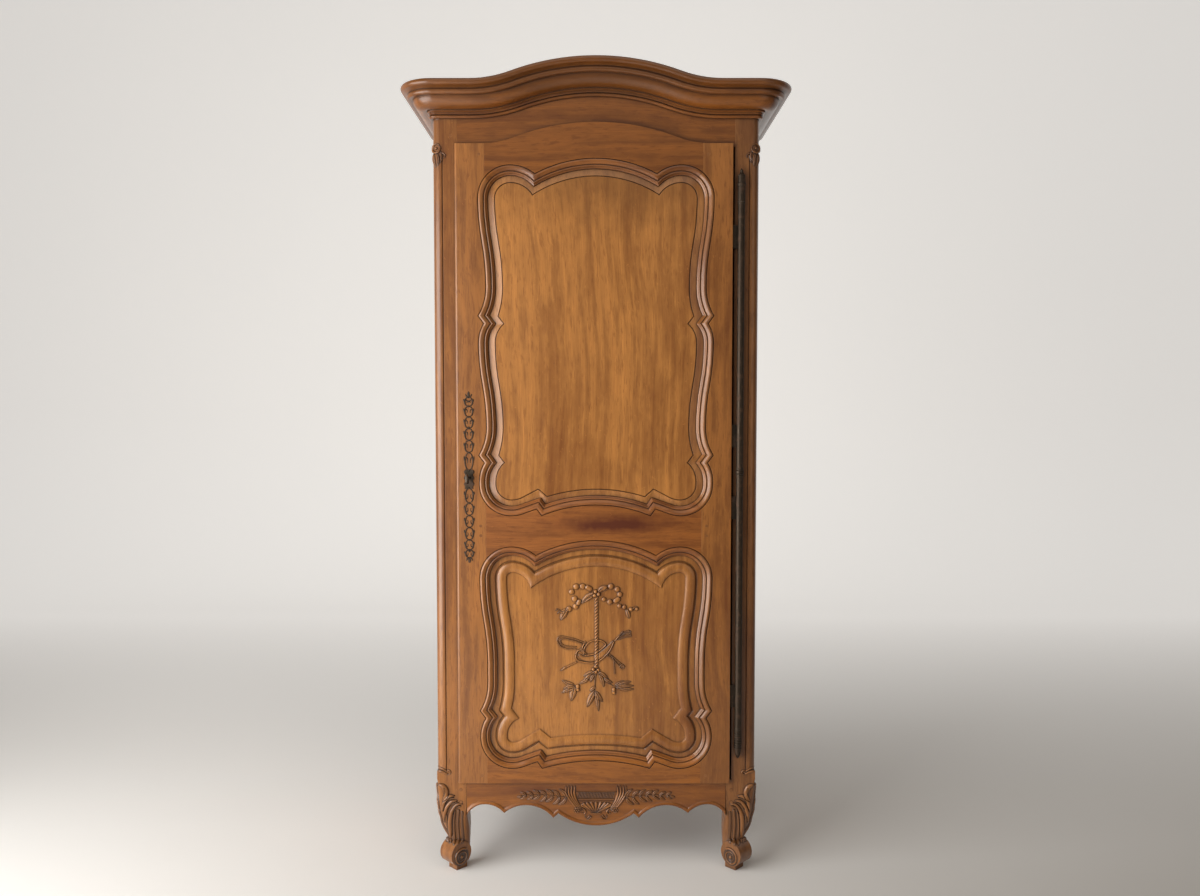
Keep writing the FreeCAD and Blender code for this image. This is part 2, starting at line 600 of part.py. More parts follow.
def shelf_like(x_half, y0, y1, z0, z1):
    """Board cut out round the four corner posts."""
    whole = slab(-x_half, x_half, y0, y1, z0, z1)
    front = leg_in if z1 < d.apron_top else opening
    front_y = d.leg_wide if z1 < d.apron_top else d.stile_wide
    for s in (-1, 1):
        for x, a, b in ((front, y0 - 1, front_y), (d.half_width - d.rear_wide, rear_front, y1 + 1)):
            x0, x1 = sorted((s * x, s * (x_half + 1)))
            whole = whole.cut(slab(x0, x1, a, b, z0 - 1, z1 + 1))
    return whole


floor = shelf_like(side_in, d.rail_thick, d.back_in, d.floor_top - d.board, d.floor_top)
top = shelf_like(side_out, d.rail_thick, d.back_in, d.stile_top - d.board, d.stile_top)
for label, whole in (("floor_boards", floor), ("top_boards", top)):
    box = whole.BoundBox
    feature(label, Part.makeCompound(planks(3, box.YMin, box.YMax, lambda a, b: whole.common(
        slab(box.XMin, box.XMax, a, b, box.ZMin, box.ZMax)))))

cleats = []
for level in ("shelf_low", "shelf_mid", "shelf_high"):
    body = doc.addObject("PartDesign::Body", level + "_board")
    plane = next(f for f in body.Origin.OriginFeatures if f.Role == "YZ_Plane")
    sketch = rectangle(body, plane, level + "_end", "shelf_front", "depth - rear_wide - 0.5",
                       f"{level} - shelf", level)
    pad = body.newObject("PartDesign::Pad", level + "_pad")
    pad.Profile, pad.Midplane = sketch, True
    pad.setExpression("Length", bound("2 * (half_width - side_inset - side_thick) - 1"))
    doc.recompute()
    nosing = body.newObject("PartDesign::Fillet", level + "_nosing")
    front = [f"Edge{i}" for i, edge in enumerate(pad.Shape.Edges, 1)
             if edge.Length > 500 and edge.BoundBox.YMax < d.shelf_front + 1]
    nosing.Base, nosing.Radius = (pad, front), 6
    node(body, level)
    for s in (-1, 1):
        cleats.append(side_block(s, "half_width - side_inset - side_thick - cleat",
                                 "half_width - side_inset - side_thick", "stile_wide",
                                 "depth - rear_wide", f"{level} - shelf - cleat", f"{level} - shelf"))
group("shelf_cleats", cleats)
under = "floor_top - board"
group("floor_cleats", [side_block(s, "half_width - side_inset - side_thick - cleat",
                                  "half_width - side_inset - side_thick", "leg_wide",
                                  "depth - rear_wide", f"{under} - cleat", under) for s in (-1, 1)]
      + [block("leg_wide - half_width", "half_width - leg_wide", "rail_thick", "rail_thick + cleat",
               f"{under} - cleat", under)])

# ---- cornice: moulded front and mitred returns that sit over the rails and lift off ----
def line(a, b):
    return Part.LineSegment(V(a[0], 0, a[1]), V(b[0], 0, b[1])).toShape()


def bow(a, middle, b):
    return Part.Arc(*(V(x, 0, z) for x, z in (a, middle, b))).toShape()


def section(inner):
    """Cornice moulding from the bottom bead to the rounded nose; x is the overhang, z the height."""
    o, t = d.cornice_out, d.cornice_tall
    return Part.Face(Part.Wire([
        line((inner, 0), (5, 0)), bow((5, 0), (9, 4), (5, 8)), line((5, 8), (9, 9.5)),
        line((9, 9.5), (9, 14)), line((9, 14), (14, 16)), line((14, 16), (14, 20)),
        bow((14, 20), (39, 25), (50, 43)), line((50, 43), (50, 47)), line((50, 47), (62, 47)),
        bow((62, 47), (66, 53), (63, 60)), line((63, 60), (67, 63)), line((67, 63), (74, 65)),
        bow((74, 65), (o, 73.5), (74, t)), line((74, t), (inner, t)), line((inner, t), (inner, 0))]))


def along(segs, face):
    """Solid of a section carried along a chain: straight runs are drawn out, arcs turned."""
    parts = []
    for p, q, a0, a1, k in segs:
        cut = face.copy()
        cut.rotate(V(0, 0, 0), V(0, 0, 1), -90)
        cut.rotate(V(0, 0, 0), V(0, 1, 0), -math.degrees(a0))
        cut.translate(V(p[0], 0, p[1]))
        if abs(k) < 1e-9:
            parts.append(cut.extrude(V(q[0] - p[0], 0, q[1] - p[1])))
        else:
            centre = V(p[0] - math.sin(a0) / k, 0, p[1] + math.cos(a0) / k)
            way = V(0, -1, 0) if a1 > a0 else V(0, 1, 0)
            parts.append(cut.revolve(centre, way, math.degrees(abs(a1 - a0))))
    return parts


def flat_plan(points, z0, z1):
    wire = Part.makePolygon([V(x, y, z0) for x, y in points + points[:1]])
    return Part.Face(wire).extrude(V(0, 0, z1 - z0))


low, over = d.cornice_low, d.cornice_low + d.cornice_tall
straight = d.half_width - d.corner_r
run = [seg for seg in crest if abs(seg[4]) > 1e-9]
run = [((-straight, low), run[0][0], 0.0, 0.0, 0.0)] + run + [(run[-1][1], (straight, low), 0.0, 0.0, 0.0)]
moulded = along(run, section(0))
back_rect = Part.Face(Part.Wire([line((0, d.seat), (0, d.cornice_tall)),
                                 line((0, d.cornice_tall), (-d.seat_deep, d.cornice_tall)),
                                 line((-d.seat_deep, d.cornice_tall), (-d.seat_deep, d.seat)),
                                 line((-d.seat_deep, d.seat), (0, d.seat))]))
moulded += along([((-d.half_width, low), run[0][1], 0.0, 0.0, 0.0)] + run[1:-1]
                 + [(run[-1][0], (d.half_width, low), 0.0, 0.0, 0.0)], back_rect)
for s in (-1, 1):
    turned = section(-d.corner_r)
    turned.translate(V(d.corner_r, 0, low))
    turned.rotate(V(0, 0, 0), V(0, 0, 1), -90)
    corner = turned.revolve(V(0, 0, 0), V(0, 0, 1), 90)
    flank = section(0)
    flank.translate(V(d.half_width, d.corner_r, low))
    flank = flank.extrude(V(0, d.depth - d.corner_r, 0))
    if s < 0:
        corner = corner.mirror(V(0, 0, 0), V(1, 0, 0))
        flank = flank.mirror(V(0, 0, 0), V(1, 0, 0))
    corner.translate(V(s * straight, d.corner_r, 0))
    x0, x1 = sorted((s * (d.half_width - d.seat_deep), s * d.half_width))
    moulded += [corner, flank, slab(x0, x1, 0, d.depth, d.stile_top, over)]
cornice = moulded[0].fuse(moulded[1:])
cornice = cornice.cut(slab(-d.half_width, d.half_width, 0, d.depth, low - 1, d.stile_top)).removeSplitter()
reach, inner = d.half_width + 100, d.half_width - d.seat_deep
top_z = over + d.crest_rise + 9
feature("cornice_front", cornice.common(flat_plan(
    [(-reach, -100), (reach, -100), (inner, d.seat_deep), (-inner, d.seat_deep)], low - 9, top_z)))
for s, side in ((-1, "left"), (1, "right")):
    feature(f"cornice_{side}_return", cornice.common(flat_plan(
        [(s * reach, -100), (s * inner, d.seat_deep), (s * inner, d.depth), (s * reach, d.depth)],
        low - 9, top_z)))
group("cornice_back_rail", [block("seat_deep - half_width", "half_width - seat_deep",
                                  "depth - seat_deep", "depth", "stile_top",
                                  "cornice_low + cornice_tall")])

# ---- door: five rails and stiles, each moulded in the solid, round two loose panels ----
# how far points of a panel's line shift for each millimetre that the line lies further in:
# ears inwards; head cusp outwards and down; foot up; foot corners inwards and up; lean in degrees
DRAW = SimpleNamespace(ear=1.2, cusp_out=0.15, cusp_down=0.2, foot=0.95, corner_in=0.1, lip_in=0.33,
                       lip_up=0.2, lean=0.19)


def panel_outline(crest_z, foot_z, sill, ears, inset=0):
    """Outer line of a panel's moulding, clockwise from the middle of its arched top, or the line
    that follows it further in; the ears are given by their heights above the foot."""
    lobe, waist, draw = d.lobe_half - inset, d.waist_half - inset, inset * DRAW.ear
    ears, turn = [foot_z + up for up in ears], lobe - d.shoulder
    crest_z, foot_z = crest_z - inset, foot_z + inset * DRAW.foot
    chain = Chain((0, crest_z), 0)
    chain.to((d.crest_half + inset * DRAW.cusp_out, crest_z - d.crest_drop - inset * DRAW.cusp_down))
    chain.into((d.shoulder, crest_z - d.lobe_drop), 0)
    chain.to((lobe, crest_z - d.lobe_drop - turn))
    for ear in ears:
        low = max(ear + d.flare, chain.at[1] - d.sway_long)
        chain.sway((waist, low))
        if low > ear + d.flare:
            chain.line((waist, ear + d.flare))
        chain.to((d.ear_half - draw, ear)).line((d.notch_half - draw, ear - d.ear_step))
        chain.into((lobe, ear - d.ear_step - d.belly), -90)
    chain.line((lobe, foot_z + turn)).to((d.shoulder, foot_z))
    lean = math.radians(d.foot_lean + inset * DRAW.lean)
    bend = foot_z + (d.shoulder - d.foot_bend) * math.tan(lean / 2)
    cusp = d.foot_cusp - inset * DRAW.corner_in
    chain.to((d.foot_bend, bend)).line((cusp, bend + (d.foot_bend - cusp) * math.tan(lean)))
    chain.line((d.foot_ear - inset * DRAW.lip_in, foot_z + inset * DRAW.lip_up))
    chain.into((0, foot_z + sill), 180)
    return mirrored(chain)


UPPER = (d.upper_crest, d.upper_foot, d.upper_sill, (d.upper_ear_up + d.ear_gap, d.upper_ear_up))
LOWER = (d.lower_crest, d.lower_foot, d.lower_sill, (d.lower_ear_up,))
upper, lower = panel_outline(*UPPER), panel_outline(*LOWER)
door_front, panel_front = -d.lip_thick, d.groove_in
panel_back = panel_front + d.panel_thick
# profile of the moulding: quirk and bead rise to a crest, then fillet and ogee fall to the panel
RISE = ((0, panel_front), (0, door_front + 3.5), (2.5, door_front - 0.6), (6, door_front - 2))
FALL = ((6, door_front - 2), (10, door_front - 0.8), (14.2, door_front + 2.4), (15.2, door_front + 5),
        (16.2, door_front + 5.2), (17.2, door_front + 4), (19, door_front + 3.6),
        (20.6, door_front + 4.8), (21.6, door_front + 7.8), (d.mould, door_front + 10.5),
        (d.mould, panel_front))


def panel_board(crest_z, foot_z, margin, y0, y1):
    """Board with a low arched top that fills the grooves round an opening."""
    half = d.ear_half + d.tongue + margin
    z0, side, top = foot_z - d.tongue - margin, crest_z - 10 + margin, crest_z + d.tongue + margin
    arc = Part.Arc(V(-half, y0, side), V(0, y0, top), V(half, y0, side)).toShape()
    rest = [V(half, y0, side), V(half, y0, z0), V(-half, y0, z0), V(-half, y0, side)]
    sides = [Part.LineSegment(a, b).toShape() for a, b in zip(rest, rest[1:])]
    return Part.Face(Part.Wire([arc] + sides)).extrude(V(0, y1 - y0, 0))


lip_back = -d.lip_gap
frame = under_arch(head, 0, d.door_low, door_front, lip_back)
frame = frame.common(slab(-d.door_left, d.door_right, door_front, lip_back, 0, d.stile_top))
inner_leaf = under_arch(head, lip, d.door_low + lip, lip_back, d.door_back)
frame = frame.fuse(inner_leaf.common(slab(lip - d.door_left, d.door_right, lip_back, d.door_back,
                                          0, d.stile_top)))
for segs, crest_z, foot_z in ((upper, d.upper_crest, d.upper_foot), (lower, d.lower_crest, d.lower_foot)):
    frame = frame.cut(prism(segs, 0, door_front - 1, panel_front))
    frame = frame.cut(panel_board(crest_z, foot_z, 0, panel_front, panel_back))
    frame = frame.cut(prism(segs, d.mould - 7, panel_back, d.door_back + 1))
    frame = frame.fuse(stepped(segs, RISE).cut(stepped(segs, FALL)))

joint = {-1: d.door_stile - d.door_left, 1: d.door_right - d.door_stile}
tenons = {"top": (d.upper_crest - d.tenon_drop, d.door_head - lip - 6),
          "middle": (d.lower_crest - d.tenon_drop, d.upper_foot - d.tongue - 2),
          "bottom": (d.door_low + lip + 4, d.lower_foot - d.tongue - 2)}


def rail_region(low, high):
    """Space of a rail: its shoulders are upright, and mitred where they cross a moulding."""
    lobe, mitre, plan = d.lobe_half - d.shoulder, 60, {}
    for s in (-1, 1):
        rise = math.sqrt(lobe ** 2 - (abs(joint[s]) - d.shoulder) ** 2)
        plan[s] = ([(joint[s], 0)] if low is None else
                   [(joint[s] - s * mitre, low + rise - mitre), (joint[s], low + rise)])
        plan[s] += ([(joint[s], d.stile_top)] if high is None else
                    [(joint[s], high - rise), (joint[s] - s * mitre, high - rise + mitre)])
    points = plan[-1] + plan[1][::-1]
    wire = Part.makePolygon([V(x, -d.depth, z) for x, z in points + points[:1]])
    return Part.Face(wire).extrude(V(0, 2 * d.depth, 0))


lobes = {"upper": (d.upper_foot + d.lobe_half - d.shoulder,
                   d.upper_crest - d.lobe_drop - d.lobe_half + d.shoulder),
         "lower": (d.lower_foot + d.lobe_half - d.shoulder,
                   d.lower_crest - d.lobe_drop - d.lobe_half + d.shoulder)}
regions = {"top": rail_region(lobes["upper"][1], None),
           "middle": rail_region(lobes["lower"][1], lobes["upper"][0]),
           "bottom": rail_region(None, lobes["lower"][0])}
rails = {name: frame.common(region) for name, region in regions.items()}
both = frame.cut(list(regions.values()))
door_stiles = dict(zip((-1, 1), sorted(both.Solids, key=lambda solid: solid.CenterOfMass.x)))
for name, (z0, z1) in tenons.items():
    for s in (-1, 1):
        x0, x1 = sorted((joint[s], joint[s] + s * d.tenon_long))
        tenon = slab(x0, x1, panel_front - 1, panel_back, z0, z1)
        rows = (z0 + 16, z1 - 16) if z1 - z0 > 50 else ((z0 + z1) / 2,)
        pins = [peg(joint[s] + s * 14, z, door_front, d.door_back - 3) for z in rows]
        rails[name] = rails[name].fuse(tenon).cut(pins)
        door_stiles[s] = door_stiles[s].cut(tenon).cut(pins)
        door_pegs += pins

keyway = Part.makeCylinder(d.shaft_r + 1.5, 60, V(d.key_x, -30, d.key_z), V(0, 1, 0))
keyway = keyway.fuse(slab(d.key_x - 2.5, d.key_x + 2.5, -30, 30, d.key_z - d.bit_r - 1.5, d.key_z))
door_stiles[-1] = door_stiles[-1].cut(keyway)
rim = [e for e in door_stiles[-1].Edges
       if e.BoundBox.XMax < -d.door_left + 0.1 and e.BoundBox.YMax < door_front + 0.1]
door_stiles[-1] = door_stiles[-1].makeFillet(d.edge_round, rim)
door_leaves = {"upper": (d.knuckle_low - 2 * d.leaf_tall, d.ring_high + d.leaf_tall),
               "lower": (d.ring_low - 2 * d.leaf_tall, d.barrel_low + d.leaf_tall)}
leaf_y = d.hinge_y + 5
for z in door_leaves["upper"] + door_leaves["lower"]:
    door_stiles[1] = door_stiles[1].cut(slab(
        d.door_right - d.leaf_deep + 3, d.door_right + 1, leaf_y, leaf_y + d.leaf, z, z + d.leaf_tall))
feature("door_left_stile", door_stiles[-1])
feature("door_right_stile", door_stiles[1])
for name, rail in rails.items():
    feature(f"door_{name}_rail", rail)

# upper panel: the border bevelled up to a quirk, the field raised inside it
edge, bevelled = panel_outline(*UPPER, d.field_in), panel_front - d.bevel
plate = panel_board(d.upper_crest, d.upper_foot, 0, panel_front, panel_back)
plate = plate.fuse(Part.makeLoft([ring(upper, d.mould, panel_front), ring(edge, -1, bevelled)], True, True))
plate = plate.cut(stepped(edge, ((-1, bevelled), (0, bevelled + d.quirk))))
feature("door_upper_panel", plate.fuse(stepped(
    edge, ((0, bevelled + d.quirk), (1.2, panel_front - 0.7 * d.field), (2.5, panel_front - d.field)))))
# lower panel: a rounded cord between a groove outside and the step down to the field inside
middle, half, crown = panel_outline(*LOWER, d.cord_in), d.cord_half, (0, panel_front - d.cord_high)
plate = panel_board(d.lower_crest, d.lower_foot, 0, panel_front, panel_back)
groove = stepped(middle, ((-half - d.cord_quirk, panel_front), (-half - 2.5, panel_front + d.quirk)))
plate = plate.cut(groove.cut(stepped(middle, ((-half, panel_front), (-half - 1, panel_front + d.quirk)))))
cord = stepped(middle, ((-half, panel_front), (2.5 - half, panel_front - 0.55 * d.cord_high),
                        (-half / 2, panel_front - 0.88 * d.cord_high), crown))
sunk = stepped(middle, (crown, (half / 2, panel_front - 0.88 * d.cord_high),
                        (half - 2, panel_front - 0.6 * d.cord_high), (half, panel_front - d.cord_field)))
feature("door_lower_panel", plate.fuse(cord.cut(sunk)))
feature("carcass_pegs", Part.makeCompound(carcass_pegs))
feature("door_pegs", Part.makeCompound(door_pegs))


# ---- hinge: one long iron pin in three fixed knuckles and two barrels that turn with the door ----
def turned(label, outline):
    """Body of revolution about the hinge line from (radius, height) expressions."""
    body = doc.addObject("PartDesign::Body", label)
    plane = next(f for f in body.Origin.OriginFeatures if f.Role == "XZ_Plane")
    sketch = body.newObject("Sketcher::SketchObject", label + "_profile")
    sketch.AttachmentSupport = (plane, [""])
    sketch.MapMode = "FlatFace"
    count = len(outline)
    at = [V(float(r), float(z), 0) for r, z in outline]
    for i in range(count):
        sketch.addGeometry(Part.LineSegment(at[i], at[(i + 1) % count]), False)
    for i in range(count):
        sketch.addConstraint(Sketcher.Constraint("Coincident", i, 2, (i + 1) % count, 1))
        for kind, value in (("DistanceX", at[i].x), ("DistanceY", at[i].y)):
            sketch.addConstraint(Sketcher.Constraint(kind, -1, 1, i, 1, value))
    turn = body.newObject("PartDesign::Revolution", label + "_turn")
    turn.Profile = sketch
    turn.ReferenceAxis = (sketch, ["V_Axis"])
    turn.Angle = 360
    body.setExpression("Placement.Base.x", bound("hinge_x"))
    body.setExpression("Placement.Base.y", bound("hinge_y"))
    return body


def knuckle(label, outline, leaves):
    """Turned knuckle with its flat leaves welded on."""
    whole = doc.addObject("Part::MultiFuse", label + "_iron")
    whole.Shapes = [turned(label + "_turned", outline)] + leaves
    return node(whole, label)


r, bore, gap = d.barrel_r, d.pin_r + d.pin_play, d.knuckle_gap
ridge_top, ridges = d.barrel_low - 4, 8
pitch = (ridge_top - d.hinge_low - 24) / ridges
ridged = []
for i in range(ridges):
    z = ridge_top - i * pitch
    ridged += [(r, z), (r, z - 3.4), (r - 1.4, z - 4.2), (r - 1.4, z - pitch + 0.8)]
pin_low, pin_high = d.hinge_low + 14, d.knuckle_top - 7


def fixed_leaf(z0, z1):
    """Leaf that runs straight back into the stile."""
    return block("hinge_x - leaf / 2", "hinge_x + leaf / 2", "hinge_y + barrel_r - 3", "leaf_deep",
                 z0, z1)


tall, collar = "leaf_tall", d.knuckle_top - 28
knuckle("hinge_top_knuckle",
        [(d.pin_r, d.knuckle_low), (r, d.knuckle_low)]
        + [(r + out, collar + up) for out, up in ((0, 0), (1.5, 2), (1.5, 7), (0, 9))]
        + [(r, d.knuckle_top), (0.6 * r, d.knuckle_top + 4), (0.4 * r, d.hinge_top - 10),
           (0.45 * r, d.hinge_top - 7), (0, d.hinge_top), (0, pin_high), (d.pin_r, pin_high)],
        [fixed_leaf("knuckle_low + 5", f"knuckle_low + 5 + {tall}")])
knuckle("hinge_middle_ring",
        [(d.pin_r, d.ring_low), (r, d.ring_low), (r + 1, d.ring_low + 2), (r + 1, d.ring_high - 2),
         (r, d.ring_high), (d.pin_r, d.ring_high)],
        [fixed_leaf("ring_low", "ring_high")])
knuckle("hinge_bottom_knuckle",
        [(d.pin_r, d.barrel_low)] + [(r, d.barrel_low)] + ridged
        + [(0.8 * r, d.hinge_low + 22), (0.7 * r, d.hinge_low + 13), (0.4 * r, d.hinge_low + 5),
           (0, d.hinge_low), (0, pin_low), (d.pin_r, pin_low)],
        [fixed_leaf("hinge_low + 12", f"hinge_low + 12 + {tall}")])
for name, z0, z1 in (("upper", d.ring_high + gap, d.knuckle_low - gap),
                     ("lower", d.barrel_low + gap, d.ring_low - gap)):
    leaves = [block("door_right - leaf_deep + 3", "hinge_x - barrel_r + 2.5", "hinge_y + 5",
                    "hinge_y + 5 + leaf", z, z + d.leaf_tall) for z in door_leaves[name]]
    knuckle(f"hinge_{name}_barrel",
            [(bore, z0), (r, z0), (r, z0 + 4), (r - 0.8, z0 + 5), (r - 0.8, z1 - 5), (r, z1 - 4),
             (r, z1), (bore, z1)], leaves)
pin = doc.addObject("Part::Cylinder", "hinge_pin")
pin.setExpression("Radius", bound("pin_r"))
pin.Height = pin_high - pin_low
pin.Placement.Base = V(0, 0, pin_low)
pin.setExpression("Placement.Base.x", bound("hinge_x"))
node(pin, "hinge_pin")
pin.setExpression("Placement.Base.y", bound("hinge_y + (cornice_out - depth) / 2"))

# ---- lock, key and the pierced iron strip over the keyhole ----
case = "key_x - 21"
timber("lock_case", [block(case, f"{case} + case_wide", "door_back", "door_back + case_deep",
                           "key_z - case_tall / 2", "key_z + case_tall / 2")],
       [block(f"{case} + sheet", f"{case} + case_wide - sheet", "door_back - 1",
              "door_back + case_deep - sheet", "key_z - case_tall / 2 + sheet",
              "key_z + case_tall / 2 - sheet"),
        block(f"{case} - 1", f"{case} + sheet + 1", "door_back + 4.5", "door_back + 5.5 + bolt_thick",
              "key_z + bit_r + 1.5", "key_z + bit_r + 2.5 + bolt_tall")])
timber("lock_bolt", [block("key_x - 20.7", "key_x + 50", "door_back + 5", "door_back + 5 + bolt_thick",
                           "key_z + bit_r + 2", "key_z + bit_r + 2 + bolt_tall")]
       + [block(f"key_x + ({x0})", f"key_x + ({x1})", "door_back + 5", "door_back + 5 + bolt_thick",
                "key_z + bit_r - 2", "key_z + bit_r + 2") for x0, x1 in ((-4.5, -1), (16, 21))])
timber("lock_strike", [block(*strike)], [block(strike[0] - 1, strike[1] + 1, *keeper)])
shaft = doc.addObject("Part::Cylinder", "key_shaft")
shaft.setExpression("Radius", bound("shaft_r"))
shaft.setExpression("Height", bound("door_back + case_deep - sheet - key_gap - bow_y - bow_r + 3"))
shaft.Placement = FreeCAD.Placement(V(0, 0, 0), V(1, 0, 0), -90)
shaft.setExpression("Placement.Base.x", bound("key_x"))
shaft.setExpression("Placement.Base.y", bound("bow_y + bow_r - 3"))
shaft.setExpression("Placement.Base.z", bound("key_z"))
rim_section = [(1, 0), (2.5, 1.5), (2.5, 3.5), (1, 5), (-1, 5), (-2.5, 3.5), (-2.5, 1.5), (-1, 0)]
rim_section = [V(across, d.bow_r - into, 0) for across, into in rim_section]
bow = doc.addObject("Part::Feature", "key_bow")
bow.Shape = Part.Face(Part.makePolygon(rim_section + rim_section[:1])).revolve(V(0, 0, 0), V(1, 0, 0), 360)
bow.Placement.Base = V(d.key_x, d.bow_y, d.key_z)
timber("key", [shaft, bow, block("key_x - 1.5", "key_x + 1.5", "door_back + 5.5",
                                 "door_back + 4.5 + bolt_thick", "key_z - bit_r", "key_z - 1")])


def scutcheon():
    """Chain of open rings tapering to a leaf point at each end, round a plain keyhole boss."""
    y0, y1, half = door_front - d.scutcheon, door_front, d.scutcheon_wide / 2

    def disc(z, radius):
        return Part.makeCylinder(radius, y1 - y0, V(d.key_x, y0, z), V(0, 1, 0))

    count, open_r, taper = 8, half - 4.5, 0.3
    step = (d.scutcheon_half - 40) / count
    whole = slab(d.key_x - half, d.key_x + half, y0, y1, d.key_z - 22, d.key_z + 22)
    holes = [keyway]
    for s in (-1, 1):
        for i in range(count):
            z = d.key_z + s * (24 + half - 3 + i * step)
            whole = whole.fuse(disc(z, half - i * taper))
            holes.append(disc(z, open_r - i * taper))
        tip, root = d.key_z + s * d.scutcheon_half, d.key_z + s * (d.scutcheon_half - 34)
        leaf = Part.makePolygon([V(d.key_x - 6, y0, root), V(d.key_x, y0, tip),
                                 V(d.key_x + 6, y0, root), V(d.key_x - 6, y0, root)])
        whole = whole.fuse(Part.Face(leaf).extrude(V(0, y1 - y0, 0)))
    return whole.cut(holes)


feature("lock_escutcheon", scutcheon())

doc.recompute()
bad = [o.Name for o in doc.Objects if {"Invalid", "Error"} & set(o.State)]
for obj in NODES:
    if obj.Shape.isNull() or not obj.Shape.isValid() or not obj.Shape.Solids:
        bad.append(obj.Label)
if bad:
    raise SystemExit(f"failed: {bad}")
os.makedirs("parts", exist_ok=True)
for obj in NODES:
    obj.Shape.exportStep(f"parts/{obj.Label}.step")
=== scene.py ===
import math

import bpy
import numpy as np
from mathutils import Matrix, Vector
from mathutils.bvhtree import BVHTree


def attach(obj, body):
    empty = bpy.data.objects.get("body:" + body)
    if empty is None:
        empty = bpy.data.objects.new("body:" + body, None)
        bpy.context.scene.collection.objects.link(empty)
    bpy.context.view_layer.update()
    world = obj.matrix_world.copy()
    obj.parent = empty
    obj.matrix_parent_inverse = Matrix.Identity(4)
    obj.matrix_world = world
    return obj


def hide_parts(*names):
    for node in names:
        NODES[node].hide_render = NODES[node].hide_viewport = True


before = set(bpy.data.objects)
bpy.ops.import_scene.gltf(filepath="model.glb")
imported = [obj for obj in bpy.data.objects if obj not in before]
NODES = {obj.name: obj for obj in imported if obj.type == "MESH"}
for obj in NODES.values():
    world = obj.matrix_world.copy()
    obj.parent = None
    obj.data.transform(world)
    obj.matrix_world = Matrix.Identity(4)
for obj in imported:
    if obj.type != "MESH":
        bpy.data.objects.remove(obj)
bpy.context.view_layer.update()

# ---- Walnut timbers -------------------------------------------------------------------------
# Stiles, rails, panels and cornice are old French walnut, sawn and planed by hand, then waxed for
# two centuries. Old wax and painted shade darken the grooves, and rubbed wear with a painted
# highlight pales the edges. Stiles and panels have their grain upright, rails across, and the
# returns and side rails from front to back.


def put(tree, kind, sockets=None, **settings):
    """A shader node with its settings, and its inputs set or linked."""
    made = tree.nodes.new("ShaderNode" + kind)
    for key, value in settings.items():
        setattr(made, key, value)
    for key, value in (sockets or {}).items():
        if isinstance(value, bpy.types.NodeSocket):
            tree.links.new(value, made.inputs[key])
        else:
            made.inputs[key].default_value = value
    return made


def calc(tree, operation, a, b=0.0, clamp=False):
    """Result of a sum on one or two values."""
    return put(tree, "Math", {0: a, 1: b}, operation=operation, use_clamp=clamp).outputs[0]


def blend(tree, amount, a, b, kind="MIX"):
    """Colour a turned towards colour b."""
    mixed = put(tree, "Mix", {0: amount, 6: a, 7: b}, data_type="RGBA", blend_type=kind)
    return mixed.outputs[2]


def span(tree, value, low, high, to_low=0.0, to_high=1.0):
    """A value spread from one range over another, held at its ends."""
    return put(tree, "MapRange", {0: value, 1: low, 2: high, 3: to_low, 4: to_high}).outputs[0]


def shared(name, takes, gives):
    """An empty shader group with named inputs and outputs."""
    tree = bpy.data.node_groups.new(name, "ShaderNodeTree")
    for direction, sockets in (("INPUT", takes), ("OUTPUT", gives)):
        for label, kind in sockets.items():
            tree.interface.new_socket(label, in_out=direction, socket_type="NodeSocket" + kind)
    return tree, tree.nodes.new("NodeGroupInput").outputs, tree.nodes.new("NodeGroupOutput").inputs


def use(tree, group, sockets):
    """Outputs of a shared group placed in a material."""
    return put(tree, "Group", sockets, node_tree=group).outputs


